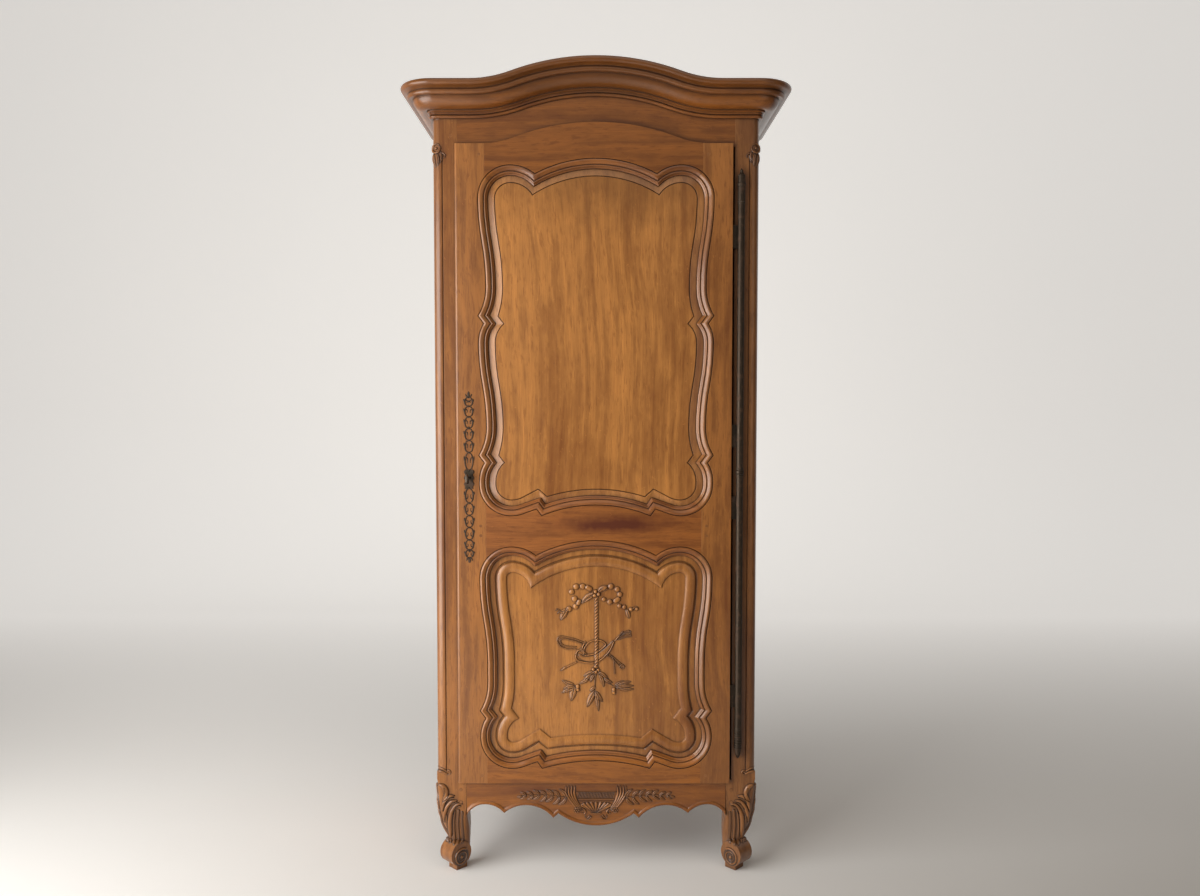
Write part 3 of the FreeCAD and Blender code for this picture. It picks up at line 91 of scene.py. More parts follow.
def wood_group():
    """Grain that runs along Z: broad figure, growth lines, pores, and worm holes."""
    tree, given, out = shared("wood_grain", {"Vector": "Vector", "Seed": "Float", "Dark": "Color",
                                             "Mid": "Color", "Light": "Color", "Worm": "Float"},
                              {"Color": "Color", "Roughness": "Float", "Height": "Float"})
    shift = put(tree, "CombineXYZ", {0: calc(tree, "MULTIPLY", given["Seed"], 3.1),
                                     1: calc(tree, "MULTIPLY", given["Seed"], 1.7),
                                     2: calc(tree, "MULTIPLY", given["Seed"], 0.9)}).outputs[0]
    at = put(tree, "VectorMath", {0: given["Vector"], 1: shift}, operation="ADD").outputs[0]

    def noise(scale, stretch, detail, rough=0.55, source=at):
        long = put(tree, "VectorMath", {0: source, 1: (1, 1, stretch)}, operation="MULTIPLY").outputs[0]
        return put(tree, "TexNoise", {"Vector": long, "Scale": scale, "Detail": detail,
                                      "Roughness": rough})

    sway = put(tree, "VectorMath", {0: noise(2.2, 0.45, 2).outputs["Color"], 1: (0.5, 0.5, 0.5)},
               operation="SUBTRACT").outputs[0]
    sway = put(tree, "VectorMath", {0: sway, 1: (0.16, 0.16, 0.0)}, operation="MULTIPLY").outputs[0]
    bent = put(tree, "VectorMath", {0: at, 1: sway}, operation="ADD").outputs[0]
    long = put(tree, "VectorMath", {0: bent, 1: (1, 1, 0.1)}, operation="MULTIPLY").outputs[0]
    lines = put(tree, "TexWave", {"Vector": long, "Scale": 11.0, "Distortion": 5.0, "Detail": 3.0,
                                  "Detail Scale": 1.6, "Detail Roughness": 0.6}).outputs["Fac"]
    streaks = noise(70, 0.022, 5, 0.66, bent).outputs["Fac"]
    broad = noise(3.4, 0.35, 3).outputs["Fac"]
    fibre = noise(620, 0.025, 3, 0.6).outputs["Fac"]
    dashes = noise(420, 0.05, 2, 0.5).outputs["Fac"]
    bands = noise(13, 0.05, 4, 0.6, bent).outputs["Fac"]
    tone = calc(tree, "ADD", calc(tree, "MULTIPLY", lines, 0.05), calc(tree, "MULTIPLY", streaks, 0.4))
    tone = calc(tree, "ADD", tone, calc(tree, "MULTIPLY", broad, 0.42))
    tone = calc(tree, "ADD", tone, calc(tree, "MULTIPLY", bands, 0.44))
    mottle = noise(24, 0.4, 5, 0.62, bent).outputs["Fac"]
    tone = calc(tree, "ADD", tone, span(tree, mottle, 0.3, 0.7, -0.07, 0.07))
    colour = blend(tree, span(tree, tone, 0.46, 0.66), given["Dark"], given["Mid"])
    colour = blend(tree, span(tree, tone, 0.62, 0.8), colour, given["Light"])
    pores = span(tree, dashes, 0.62, 0.72)
    colour = blend(tree, calc(tree, "MULTIPLY", pores, 0.55), colour, given["Dark"])
    colour = blend(tree, span(tree, fibre, 0.3, 0.7, 0.4, 0.0), colour, given["Dark"])
    flecks = span(tree, noise(170, 0.16, 3, 0.6, bent).outputs["Fac"], 0.56, 0.68, 0, 0.5)
    colour = blend(tree, flecks, colour, given["Dark"])
    for turn, level in (((0.35, 0.5, 0.25), 0.735), ((-0.5, -0.9, 0.3), 0.75)):
        swung = put(tree, "Mapping", {"Vector": at, "Rotation": turn}).outputs[0]
        nicks = span(tree, noise(240, 0.02, 1, 0.5, swung).outputs["Fac"], level, level + 0.03, 0, 0.4)
        colour = blend(tree, nicks, colour, given["Light"])
    cells = put(tree, "TexVoronoi", {"Vector": at, "Scale": 62.0, "Randomness": 1.0})
    hole = span(tree, cells.outputs["Distance"], 0.055, 0.035)
    picked = put(tree, "SeparateColor", {0: cells.outputs["Color"]}).outputs[0]
    hole = calc(tree, "MULTIPLY", hole, calc(tree, "LESS_THAN", picked, given["Worm"]))
    tree.links.new(blend(tree, calc(tree, "MULTIPLY", hole, 0.85), colour, (0.03, 0.012, 0.006, 1)),
                   out["Color"])
    tree.links.new(span(tree, broad, 0.3, 0.7, 0.4, 0.54), out["Roughness"])
    height = calc(tree, "SUBTRACT", calc(tree, "MULTIPLY", fibre, 0.5),
                  calc(tree, "MULTIPLY", pores, 0.7))
    height = calc(tree, "SUBTRACT", height, calc(tree, "MULTIPLY", hole, 3.0))
    tree.links.new(calc(tree, "ADD", height, calc(tree, "MULTIPLY", lines, 0.3)), out["Height"])
    return tree


def age_and_shade_group():
    """Masks for old wax and painted shade in the grooves, for rubbed wear and a painted highlight on
    the edges, and a normal with softened edges.
    """
    tree, given, out = shared("age_and_shade_masks", {"Groove": "Float", "Edge": "Float"},
                              {"WaxAndShade": "Float", "WearAndHighlight": "Float", "Normal": "Vector"})
    open_sky = put(tree, "AmbientOcclusion", {"Distance": given["Groove"]}, samples=8).outputs["AO"]
    crack = put(tree, "AmbientOcclusion", {"Distance": calc(tree, "MULTIPLY", given["Groove"], 0.22)},
                samples=8).outputs["AO"]
    soft = put(tree, "Bevel", {"Radius": given["Edge"]}, samples=6).outputs[0]
    flat = put(tree, "NewGeometry").outputs["Normal"]
    turn = put(tree, "VectorMath", {0: soft, 1: flat}, operation="DOT_PRODUCT").outputs["Value"]
    edge = span(tree, turn, 0.995, 0.86)
    wax_and_shade = calc(tree, "MAXIMUM", span(tree, open_sky, 0.92, 0.3, 0, 0.8), span(tree, crack, 0.96, 0.55))
    tree.links.new(wax_and_shade, out["WaxAndShade"])
    tree.links.new(calc(tree, "MULTIPLY", edge, span(tree, open_sky, 0.8, 0.95)), out["WearAndHighlight"])
    tree.links.new(soft, out["Normal"])
    return tree


GRAIN, AGE_AND_SHADE = wood_group(), age_and_shade_group()
UPRIGHT, ACROSS, DEEP = (0, 0, 0), (0, math.pi / 2, 0), (math.pi / 2, 0, 0)
WAX_AND_SHADE_DARK = (0.028, 0.011, 0.005, 1)


def timber(name, grain, seed, mid, spread=0.5, wax_and_shade=0.9, worm=0.1, rough=0.0, stain_and_shade=None, shaded_lit_relief=False,
           groove=0.016):
    """Material of one piece of wood: its grain direction, its own colour and its wear."""
    made = bpy.data.materials.new(name)
    made.use_nodes = True
    tree = made.node_tree
    shader = tree.nodes["Principled BSDF"]
    place = put(tree, "TexCoord").outputs["Object"]
    turned = put(tree, "Mapping", {"Vector": place, "Rotation": grain}).outputs[0]
    dark = tuple(c * (1 - spread) ** (1 + 0.35 * i) for i, c in enumerate(mid)) + (1,)
    light = tuple(min(c * (1 + spread * 0.75), 0.9) for c in mid) + (1,)
    wood = use(tree, GRAIN, {"Vector": turned, "Seed": seed, "Dark": dark, "Mid": (*mid, 1),
                             "Light": light, "Worm": worm})
    age_and_shade = use(tree, AGE_AND_SHADE, {"Groove": groove, "Edge": 0.0016})
    colour = wood["Color"]
    # A dark patch over the grain: old polish on the middle rail, painted shade on the upper panel and
    # the cornice.
    if stain_and_shade:
        centre, reach, tint, strength = stain_and_shade
        off = put(tree, "VectorMath", {0: place, 1: centre}, operation="SUBTRACT").outputs[0]
        off = put(tree, "VectorMath", {0: off, 1: [1 / r for r in reach]},
                  operation="MULTIPLY").outputs[0]
        far = put(tree, "VectorMath", {0: off}, operation="LENGTH").outputs["Value"]
        ragged = put(tree, "TexNoise", {"Vector": turned, "Scale": 26.0, "Detail": 4.0}).outputs["Fac"]
        far = calc(tree, "ADD", far, calc(tree, "MULTIPLY", ragged, 0.9))
        colour = blend(tree, span(tree, far, 1.5, 0.8, 0, strength), colour, tint)
    # Old wax and painted shade darken every hollow that the ambient occlusion finds.
    colour = blend(tree, calc(tree, "MULTIPLY", age_and_shade["WaxAndShade"], wax_and_shade), colour, WAX_AND_SHADE_DARK)
    # Rubbed wear and a painted highlight pale the edges.
    colour = blend(tree, calc(tree, "MULTIPLY", age_and_shade["WearAndHighlight"], 0.35), colour, light)
    # Painted shade low in the relief and a painted highlight on its tops, from the carved height.
    if shaded_lit_relief:
        tall = put(tree, "Attribute", attribute_name="carved").outputs["Fac"]
        colour = blend(tree, span(tree, tall, 0.6, 0.05, 0, 0.9), colour, WAX_AND_SHADE_DARK)
        colour = blend(tree, span(tree, tall, 0.5, 0.9, 0, 0.35), colour, light)
    tree.links.new(colour, shader.inputs["Base Color"])
    dull = calc(tree, "ADD", wood["Roughness"], calc(tree, "MULTIPLY", age_and_shade["WaxAndShade"], 0.25))
    tree.links.new(calc(tree, "ADD", dull, rough, clamp=True), shader.inputs["Roughness"])
    bump = put(tree, "Bump", {"Height": wood["Height"], "Normal": age_and_shade["Normal"], "Strength": 0.22,
                              "Distance": 0.0006})
    tree.links.new(bump.outputs[0], shader.inputs["Normal"])
    shader.inputs["Specular IOR Level"].default_value = 0.34
    shader.inputs["Coat Weight"].default_value = 0.7
    shader.inputs["Coat Roughness"].default_value = 0.22
    return made


def dress(node, material):
    """Gives a carried-over node its material, with nothing else on it."""
    NODES[node].data.materials.clear()
    NODES[node].data.materials.append(material)


HONEY, CHESTNUT, UMBER = (0.42, 0.176, 0.04), (0.3, 0.115, 0.024), (0.25, 0.1, 0.026)
AMBER, RUDDY, RUST = (0.29, 0.098, 0.012), (0.275, 0.092, 0.016), (0.22, 0.073, 0.01)
WALNUT = {"door_upper_panel": (UPRIGHT, HONEY), "door_lower_panel": (UPRIGHT, HONEY),
          "door_left_stile": (UPRIGHT, CHESTNUT), "door_right_stile": (UPRIGHT, CHESTNUT),
          "door_top_rail": (ACROSS, RUST), "door_middle_rail": (ACROSS, RUDDY),
          "door_bottom_rail": (ACROSS, AMBER), "apron_rail": (ACROSS, AMBER),
          "frieze_rail": (ACROSS, RUST), "cornice_front": (ACROSS, RUST),
          "cornice_left_return": (DEEP, RUST), "cornice_right_return": (DEEP, RUST),
          # The right front stile takes the darker umber as painted shade, since the light falls from
          # the left.
          "left_front_stile": (UPRIGHT, CHESTNUT), "right_front_stile": (UPRIGHT, UMBER),
          "left_rear_stile": (UPRIGHT, UMBER), "right_rear_stile": (UPRIGHT, UMBER)}
for side in ("left", "right"):
    for level in ("bottom", "middle", "top"):
        WALNUT[f"{side}_side_{level}_rail"] = (DEEP, CHESTNUT)
    for level in ("lower", "upper"):
        WALNUT[f"{side}_side_{level}_panel"] = (UPRIGHT, CHESTNUT)
# Dark patches, old polish on the middle rail and painted shade over the top of the upper panel and
# along the cornice: centre and reach in metres, colour, strength.
STAINS_AND_SHADE = {"door_middle_rail": ((0.045, -0.211, 0.944), (0.19, 0.2, 0.027),
                               (0.085, 0.014, 0.002, 1), 0.95),
          "door_upper_panel": ((0.05, -0.2, 1.9), (0.36, 0.3, 0.2), (0.16, 0.062, 0.013, 1), 0.55),
          "cornice_front": ((0, -0.27, 2.1), (0.8, 0.3, 0.06), (0.1, 0.032, 0.004, 1), 0.7)}
SEEDS = {node: count * 0.37 for count, node in enumerate(WALNUT)}
# The lower panel looks farther for hollows, so its painted shade spreads wider round its mouldings and
# the trophy on it.
for node, (grain, colour) in WALNUT.items():
    dress(node, timber("walnut_" + node, grain, SEEDS[node], colour, stain_and_shade=STAINS_AND_SHADE.get(node),
                       groove=0.026 if node == "door_lower_panel" else 0.016))

# ---- Inside and back boards -----------------------------------------------------------------
# Floor, shelves, top, back and the battens under them are plain oak and poplar, planed on the
# shown side only and never waxed, so they are dusty and dull, with grain along each board.
DUSTY = (0.3, 0.19, 0.1)
BOARDS = {"floor_boards": ACROSS, "top_boards": ACROSS, "shelf_low": ACROSS, "shelf_mid": ACROSS,
          "shelf_high": ACROSS, "back_bottom_rail": ACROSS, "back_middle_rail": ACROSS,
          "back_top_rail": ACROSS, "cornice_back_rail": ACROSS, "back_boards": UPRIGHT,
          "shelf_cleats": DEEP, "floor_cleats": DEEP}
# Their corners and grooves take the same painted shade as the walnut, at half strength.
for count, (node, grain) in enumerate(BOARDS.items()):
    dress(node, timber("plain_" + node, grain, 20 + count * 0.53, DUSTY, spread=0.3, wax_and_shade=0.5,
                       rough=0.3))

# ---- Pegs -----------------------------------------------------------------------------------
# Riven oak pins driven through the tenons and pared flush; their end grain soaks up the wax and
# shows as small dark discs on the faces of stiles and rails.
for node in ("carcass_pegs", "door_pegs"):
    dress(node, timber("peg_" + node, DEEP, 40.0, (0.25, 0.098, 0.024), spread=0.3, wax_and_shade=0.2))

# ---- Ironwork: hinge, lock and key ----------------------------------------------------------
# The hinge is wrought iron, forged and filed, blackened by age with brown rust in the joints. The
# lock is filed sheet iron and the key is rubbed bright on its bow.


def iron_group():
    """Forged iron: dark scale, brown rust where it is broken, fine hammer marks."""
    tree, given, out = shared("forged_iron", {"Vector": "Vector", "Scale": "Color", "Rust": "Color"},
                              {"Color": "Color", "Roughness": "Float", "Metal": "Float",
                               "Height": "Float"})
    patches = put(tree, "TexNoise", {"Vector": given["Vector"], "Scale": 55.0, "Detail": 6.0,
                                     "Roughness": 0.65}).outputs["Fac"]
    marks = put(tree, "TexVoronoi", {"Vector": given["Vector"], "Scale": 210.0},
                feature="SMOOTH_F1").outputs["Distance"]
    grit = put(tree, "TexNoise", {"Vector": given["Vector"], "Scale": 1400.0}).outputs["Fac"]
    rusty = span(tree, patches, 0.5, 0.66)
    tree.links.new(blend(tree, calc(tree, "MULTIPLY", rusty, 0.7), given["Scale"], given["Rust"]),
                   out["Color"])
    tree.links.new(span(tree, patches, 0.35, 0.7, 0.36, 0.72), out["Roughness"])
    tree.links.new(span(tree, rusty, 0, 1, 0.85, 0.25), out["Metal"])
    tree.links.new(calc(tree, "ADD", calc(tree, "MULTIPLY", marks, 0.6),
                        calc(tree, "MULTIPLY", grit, 0.35)), out["Height"])
    return tree


IRON = iron_group()


def forged(name, scale, rust=(0.09, 0.04, 0.018, 1)):
    """Material of one piece of ironwork, black in its corners with painted shade, and pale on its edges
    with rubbed wear and a painted highlight.
    """
    made = bpy.data.materials.new(name)
    made.use_nodes = True
    tree = made.node_tree
    shader = tree.nodes["Principled BSDF"]
    place = put(tree, "TexCoord").outputs["Object"]
    iron = use(tree, IRON, {"Vector": place, "Scale": scale, "Rust": rust})
    age_and_shade = use(tree, AGE_AND_SHADE, {"Groove": 0.006, "Edge": 0.0008})
    # Painted shade in the corners, and rubbed wear with a painted highlight on the edges.
    colour = blend(tree, calc(tree, "MULTIPLY", age_and_shade["WaxAndShade"], 0.6), iron["Color"],
                   (0.012, 0.009, 0.007, 1))
    colour = blend(tree, calc(tree, "MULTIPLY", age_and_shade["WearAndHighlight"], 0.5), colour, (0.3, 0.27, 0.23, 1))
    tree.links.new(colour, shader.inputs["Base Color"])
    tree.links.new(iron["Roughness"], shader.inputs["Roughness"])
    tree.links.new(iron["Metal"], shader.inputs["Metallic"])
    bump = put(tree, "Bump", {"Height": iron["Height"], "Normal": age_and_shade["Normal"], "Strength": 0.3,
                              "Distance": 0.0005})
    tree.links.new(bump.outputs[0], shader.inputs["Normal"])
    return made


BLACK_IRON = forged("hinge_iron", (0.05, 0.036, 0.025, 1))
for node in ("hinge_pin", "hinge_top_knuckle", "hinge_upper_barrel", "hinge_middle_ring",
             "hinge_lower_barrel", "hinge_bottom_knuckle"):
    dress(node, BLACK_IRON)
LOCK_IRON = forged("lock_iron", (0.13, 0.115, 0.1, 1))
for node in ("lock_case", "lock_bolt", "lock_strike"):
    dress(node, LOCK_IRON)
dress("key", forged("key_iron", (0.2, 0.17, 0.14, 1), rust=(0.07, 0.035, 0.02, 1)))
dress("lock_escutcheon", forged("escutcheon_iron", (0.12, 0.1, 0.08, 1)))

# ---- Trophy on the lower panel --------------------------------------------------------------
# A trophy of love cut with gouges in the thickness of the lower panel: a beaded bow of ribbon, a
# rope-wound staff with quiver, strap and arrow, and an oak spray tied beneath. Painted shade lies
# dark around every stroke, and the tops carry a painted highlight.
WIDTHS = {"even": lambda t: np.ones_like(t),
          "leaf": lambda t: 0.12 + 0.88 * np.sin(np.pi * t ** 0.8) ** 0.8,
          "swell": lambda t: 0.45 + 0.55 * np.sin(np.pi * t),
          "taper": lambda t: 0.2 + 0.8 * (1 - t) ** 0.8,
          "fan": lambda t: 0.25 + 0.75 * t ** 0.8}


def cut_round(s, side, along, half):
    """Half-round back; s runs from 0 on the line to 1 at the edge of the stroke."""
    return np.sqrt(1 - s ** 2)


def cut_leaf(s, side, along, half):
    """Two lobes beside a vein, with small veins across them."""
    veins = 1 + 0.13 * np.sin(2 * np.pi * (along / 3.4 - 1.2 * np.abs(side)))
    return np.sqrt(1 - s ** 2) * veins * (1 - 0.5 * np.exp(-(side * half / 0.8) ** 2))


def cut_rope(s, side, along, half):
    """Strands laid slantwise round the staff."""
    return np.sqrt(1 - s ** 2) * (0.35 + 0.65 * np.abs(np.sin(np.pi * (along / 8.5 + 0.6 * side))))


def curve(points, step):
    """Smooth path through the points, in short steps."""
    p = np.array(points, float)
    p = np.vstack([2 * p[0] - p[1], p, 2 * p[-1] - p[-2]])
    parts = []
    for a, b, c, d in zip(p, p[1:], p[2:], p[3:]):
        t = np.linspace(0, 1, max(2, int(np.linalg.norm(c - b) / step)), endpoint=False)[:, None]
        parts.append(b + 0.5 * ((c - a) * t + (2 * a - 5 * b + 4 * c - d) * t ** 2
                                + (3 * b - a - 3 * c + d) * t ** 3))
    return np.vstack(parts + [p[-2:-1]])


class Relief:
    """Gouge work as heights in millimetres over a flat grid, u across and v up."""

    def __init__(self, low, high, step):
        self.u, self.v = np.arange(low[0], high[0], step), np.arange(low[1], high[1], step)
        self.step, self.height = step, np.zeros((len(self.v), len(self.u)))

    def stroke(self, points, width, height, cut=cut_round, shape="even", trench=1.0, lift=0.0):
        """Raises one stroke; what already stands beside it is cut down along its edge."""
        line = curve(points, self.step)
        pace = np.gradient(line, axis=0)
        pace /= np.maximum(np.hypot(pace[:, 0], pace[:, 1]), 1e-9)[:, None]
        along = np.r_[0, np.cumsum(np.hypot(*np.diff(line, axis=0).T))]
        half = np.maximum(width / 2 * WIDTHS[shape](along / along[-1]), 0.1)
        reach = width / 2 + trench + self.step
        i = slice(*np.searchsorted(self.u, (line[:, 0].min() - reach, line[:, 0].max() + reach)))
        j = slice(*np.searchsorted(self.v, (line[:, 1].min() - reach, line[:, 1].max() + reach)))
        across, up = np.meshgrid(self.u[i], self.v[j])
        if not across.size:
            return
        du, dv = across[..., None] - line[:, 0], up[..., None] - line[:, 1]
        far = np.hypot(du, dv)
        best = np.argmin(far - half, axis=-1)
        here = np.take_along_axis(far, best[..., None], -1)[..., 0]
        turn = (np.take_along_axis(dv, best[..., None], -1)[..., 0] * pace[best, 0]
                - np.take_along_axis(du, best[..., None], -1)[..., 0] * pace[best, 1])
        reachable = half[best]
        s = np.clip(here / reachable, 0, 1)
        body = height * (reachable / half.max()) ** 0.6
        body = body * cut(s, turn / reachable, along[best], reachable)
        window = self.height[j, i]
        beside = np.clip((here - reachable) / trench, 0.25, 1)
        window[:] = np.where(here < reachable, np.maximum(window, body + lift), window * beside)

    def bead(self, u, v, size, height, long=0.0, turn=0.0, **kind):
        """Raises a round bead, or a long one turned by an angle."""
        du, dv = long / 2 * math.cos(turn) + 0.01, long / 2 * math.sin(turn)
        self.stroke([(u - du, v - dv), (u + du, v + dv)], size, height, **kind)

    def carve(self, name, body, place, material, sink=0.7, low=0.06, mirror=False):
        """Mesh of all that stands above the ground; place turns u, v, height into row metres."""
        up = self.height > low
        cells = up[:-1, :-1] | up[1:, :-1] | up[:-1, 1:] | up[1:, 1:]
        across, level = np.meshgrid(self.u, self.v)
        points = place(across, level, np.where(up, self.height, -sink))
        solid = np.isfinite(points).all(axis=2)
        cells &= solid[:-1, :-1] & solid[1:, :-1] & solid[:-1, 1:] & solid[1:, 1:]
        j, i = np.nonzero(cells)
        wide = len(self.u)
        first = j * wide + i
        faces = np.stack([first, first + 1, first + wide + 1, first + wide], 1)
        used, faces = np.unique(faces, return_inverse=True)
        points, faces = points.reshape(-1, 3)[used], faces.reshape(-1, 4)
        if mirror:
            points, faces = points * (-1, 1, 1), faces[:, ::-1]
        mesh = bpy.data.meshes.new(name)
        mesh.from_pydata(points.tolist(), [], faces.tolist())
        tall = mesh.attributes.new("carved", "FLOAT", "POINT")
        tall.data.foreach_set("value", self.height.reshape(-1)[used] / self.height.max())
        mesh.shade_smooth()
        made = bpy.data.objects.new(name, mesh)
        bpy.context.scene.collection.objects.link(made)
        mesh.materials.append(material)
        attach(made, body)
        return made


def on_plane(y, right=0.0, up=0.0):
    """Places a relief flat on a face that looks to the front."""
    def place(u, v, h):
        return np.stack([(u + right) / 1000, y - h / 1000, (v + up) / 1000], axis=-1)
    return place


def on_mesh(node, ray):
    """Places a relief on a curved face: u and v are seen along ray from outside, and heights
    stand square to the face, which is smoothed a little."""
    mesh = NODES[node].data
    tree = BVHTree.FromPolygons([v.co[:] for v in mesh.vertices],
                                [p.vertices[:] for p in mesh.polygons])
    way = Vector(ray)

    def place(u, v, h):
        hits = np.full((*u.shape, 3), np.nan)
        for j in range(u.shape[0]):
            for i in range(u.shape[1]):
                at = u[j, i], v[j, i]
                start = Vector((at[0], -400, at[1]) if ray[1] else (-600 * ray[0], *at))
                found = tree.ray_cast(start / 1000, way, 0.3)[0]
                if found:
                    hits[j, i] = found
        along, up = np.gradient(hits, axis=1), np.gradient(hits, axis=0)
        normal = np.cross(along, up)
        normal *= -np.sign(np.nansum(normal * way))
        for _ in range(3):
            near = [np.roll(normal, shift, axis) for axis in (0, 1) for shift in (-1, 1)]
            normal = np.nanmean(np.stack([normal] + near), axis=0)
        normal /= np.linalg.norm(normal, axis=2, keepdims=True)
        return hits + normal * h[..., None] / 1000
    return place


trophy = Relief((-118, -330), (114, 30), 0.7)
ROPE_END, PANEL_FACE, KNOT = -201, -0.197, (3.9, 758.8)
trophy.stroke([(-48, -170), (-38, -178), (-13, -179), (10, -169), (30, -150), (42, -134)],
              21, 3.6, shape="swell")
for points in ([(-58, -166), (-57, -180), (-40, -188), (-10, -190), (13, -178), (33, -156), (43, -135)],
               [(-37, -168), (-35, -150), (-23, -135), (-7, -129), (10, -130), (22, -140), (10, -153),
                (-10, -166), (-33, -170)],
               [(-58, -166), (-53, -157), (-43, -153), (-37, -140), (-33, -133)]):
    trophy.stroke(points, 4, 4.2)
for points in ([(-58, -153), (-80, -153), (-98, -146), (-107, -135), (-107, -123), (-98, -118),
                (-80, -121), (-60, -126), (-37, -135)],
               [(-57, -147), (-80, -146), (-94, -141), (-100, -133), (-99, -127), (-90, -125),
                (-63, -131), (-41, -139)]):
    trophy.stroke(points, 3.2, 2.6)
trophy.stroke([(-45, -152), (-38, -161), (-29, -167)], 8, 4.6, cut=cut_leaf, shape="swell")
trophy.stroke([(47, -130), (58, -117), (68, -106)], 3.6, 3.4)
for points in ([(52, -128), (63, -119), (74, -112), (88, -106)], [(56, -129), (70, -122), (89, -117)],
               [(60, -116), (74, -111), (88, -111)], [(63, -113), (70, -108), (84, -104)]):
    trophy.stroke(points, 6, 2.8, cut=cut_leaf, shape="fan")
trophy.stroke([(-57, -189), (-76, -198), (-92, -207)], 4, 3.0)
trophy.stroke([(-88, -204), (-100, -212)], 7, 3.2, shape="taper")
for points in ([(27, -170), (43, -183), (60, -200)], [(32, -166), (48, -180), (67, -196)],
               [(38, -172), (44, -188), (46, -220)]):
    trophy.stroke(points, 3, 2.6)
trophy.stroke([(66 + 6 * math.cos(a), -201 + 6 * math.sin(a)) for a in (0, 1.25, 2.5, 3.75, 5, 6.2)],
              3, 2.8)
trophy.stroke([(-3, -4), (-3, ROPE_END)], 10.5, 5.2, cut=cut_rope)

# The bow: beads along the ribbon on each side, a leaf next to the knot and at both tails.
for u, v, size in ((-40, 17, 17), (-57, 16, 17), (-69, 2, 16), (-61, -17, 17), (-58, -37, 17),
                   (-76, -44, 16), (36, 17, 17), (53, 9, 16), (60, -5, 16), (33, -25, 16),
                   (17, -18, 13), (59, -36, 13), (72, -39, 13), (90, -45, 12), (105, -44, 11)):
    trophy.bead(u, v, size, 4.8)
trophy.bead(-23, 12, 14, 4.4, long=8, turn=-0.5)
trophy.bead(-50, -26, 13, 4.4, long=5, turn=1.2)
trophy.bead(52, -20, 15, 4.6, long=7, turn=0.6)
trophy.bead(19, 11, 13, 4.4, long=5, turn=0.5)
trophy.stroke([(-2, -3), (-17, -7), (-31, -16), (-43, -29)], 17, 4.6, cut=cut_leaf, shape="leaf")
trophy.stroke([(-6, -8), (-20, -15), (-34, -24)], 5, 5.2, shape="swell")
trophy.stroke([(2, 2), (13, 12), (28, 18)], 14, 4.6, cut=cut_leaf, shape="leaf")
trophy.stroke([(-82, -46), (-90, -58), (-99, -74)], 18, 4.2, cut=cut_leaf, shape="leaf")
trophy.stroke([(78, -46), (82, -57), (85, -70)], 13, 4.0, cut=cut_leaf, shape="leaf")
for points in ([(-88, -46), (-99, -50), (-108, -44), (-112, -50)],
               [(-95, -54), (-104, -52), (-108, -58)], [(96, -42), (104, -38), (110, -41)]):
    trophy.stroke(points, 5, 3.4, shape="taper")
for u, v in ((-5, 3), (3, -4), (-8, -8)):
    trophy.bead(u, v, 11, 6.0)

# The oak spray: a knot, three twigs with lobed leaves, and an acorn on each side.
for points in ([(-6, -212), (-23, -225), (-33, -236), (-52, -250)],
               [(-3, -214), (15, -234), (27, -245), (43, -253)], [(-5, -214), (-7, -243), (-7, -268)]):
    trophy.stroke(points, 4, 3.2, shape="taper")
for width, *points in ((11, (-9, -214), (-22, -219), (-38, -227)),
                       (12, (-14, -222), (-26, -230), (-38, -243)),
                       (10, (-24, -236), (-34, -240), (-48, -247)),
                       (10, (-9, -222), (-16, -232), (-20, -243)),
                       (11, (2, -215), (15, -223), (30, -236)), (11, (5, -223), (13, -238), (17, -257)),
                       (10, (18, -233), (30, -241), (41, -245)),
                       (19, (-61, -254), (-66, -273), (-71, -294)),
                       (12, (-60, -257), (-78, -263), (-97, -273)),
                       (12, (-62, -252), (-80, -246), (-96, -238)),
                       (10, (-62, -255), (-78, -255), (-92, -262)),
                       (17, (-8, -268), (-18, -287), (-28, -311)),
                       (12, (-6, -268), (3, -281), (14, -297)), (11, (-5, -270), (0, -296), (3, -323)),
                       (10, (-6, -255), (-13, -261), (-21, -268)),
                       (11, (47, -253), (60, -246), (74, -240)),
                       (11, (50, -254), (70, -246), (91, -241)),
                       (12, (50, -258), (73, -262), (98, -262)),
                       (10, (52, -256), (73, -253), (98, -253))):
    trophy.stroke(points, width, 3.8, cut=cut_leaf, shape="leaf")
for u, v in ((-53, -257), (44, -265)):
    trophy.bead(u, v - 3, 10, 4.6, long=8, turn=1.7)
    trophy.bead(u, v + 3, 11, 5.0)
for u, v in ((-5, -201), (-11, -208), (2, -210), (-4, -215)):
    trophy.bead(u, v, 10, 5.4)
CARVED_PANEL = timber("carved_panel", UPRIGHT, SEEDS["door_lower_panel"], HONEY, wax_and_shade=0.95, shaded_lit_relief=True)
trophy.carve("trophy", "door", on_plane(PANEL_FACE, *KNOT), CARVED_PANEL)

# ---- Carving on the apron -------------------------------------------------------------------
# A shell under a hatched band hangs in the middle of the apron, between two reeded brackets that
# roll in over a flower; a laurel sprig runs out from each. All of it is cut in the rail itself.
APRON_FACE = -0.199
apron = Relief((-216, 138), (216, 240), 0.6)
for count in range(9):
    lean = (count - 4) / 4
    tip = (39 * math.sin(lean * 1.25) / math.sin(1.25), 186 - 7 * lean ** 2)
    bend = (tip[0] * 0.55, 158 + (tip[1] - 158) * 0.52)
    apron.stroke([(lean * 3, 158), bend, tip], 8.6, 3.6, shape="fan")
apron.stroke([(-14, 158), (-6, 155.5), (0, 155), (6, 155.5), (14, 158)], 5, 3.4, shape="swell")
for z, size in ((196, 3.4), (189.5, 2.4)):
    apron.stroke([(-48, z), (0, z), (48, z)], size, 2.6)
for count in range(-12, 13):
    apron.stroke([(count * 4 - 1.6, 199.5), (count * 4 + 1.6, 213.5)], 2.9, 2.0)
apron.stroke([(-54, 216), (0, 216), (54, 216)], 3, 2.2)
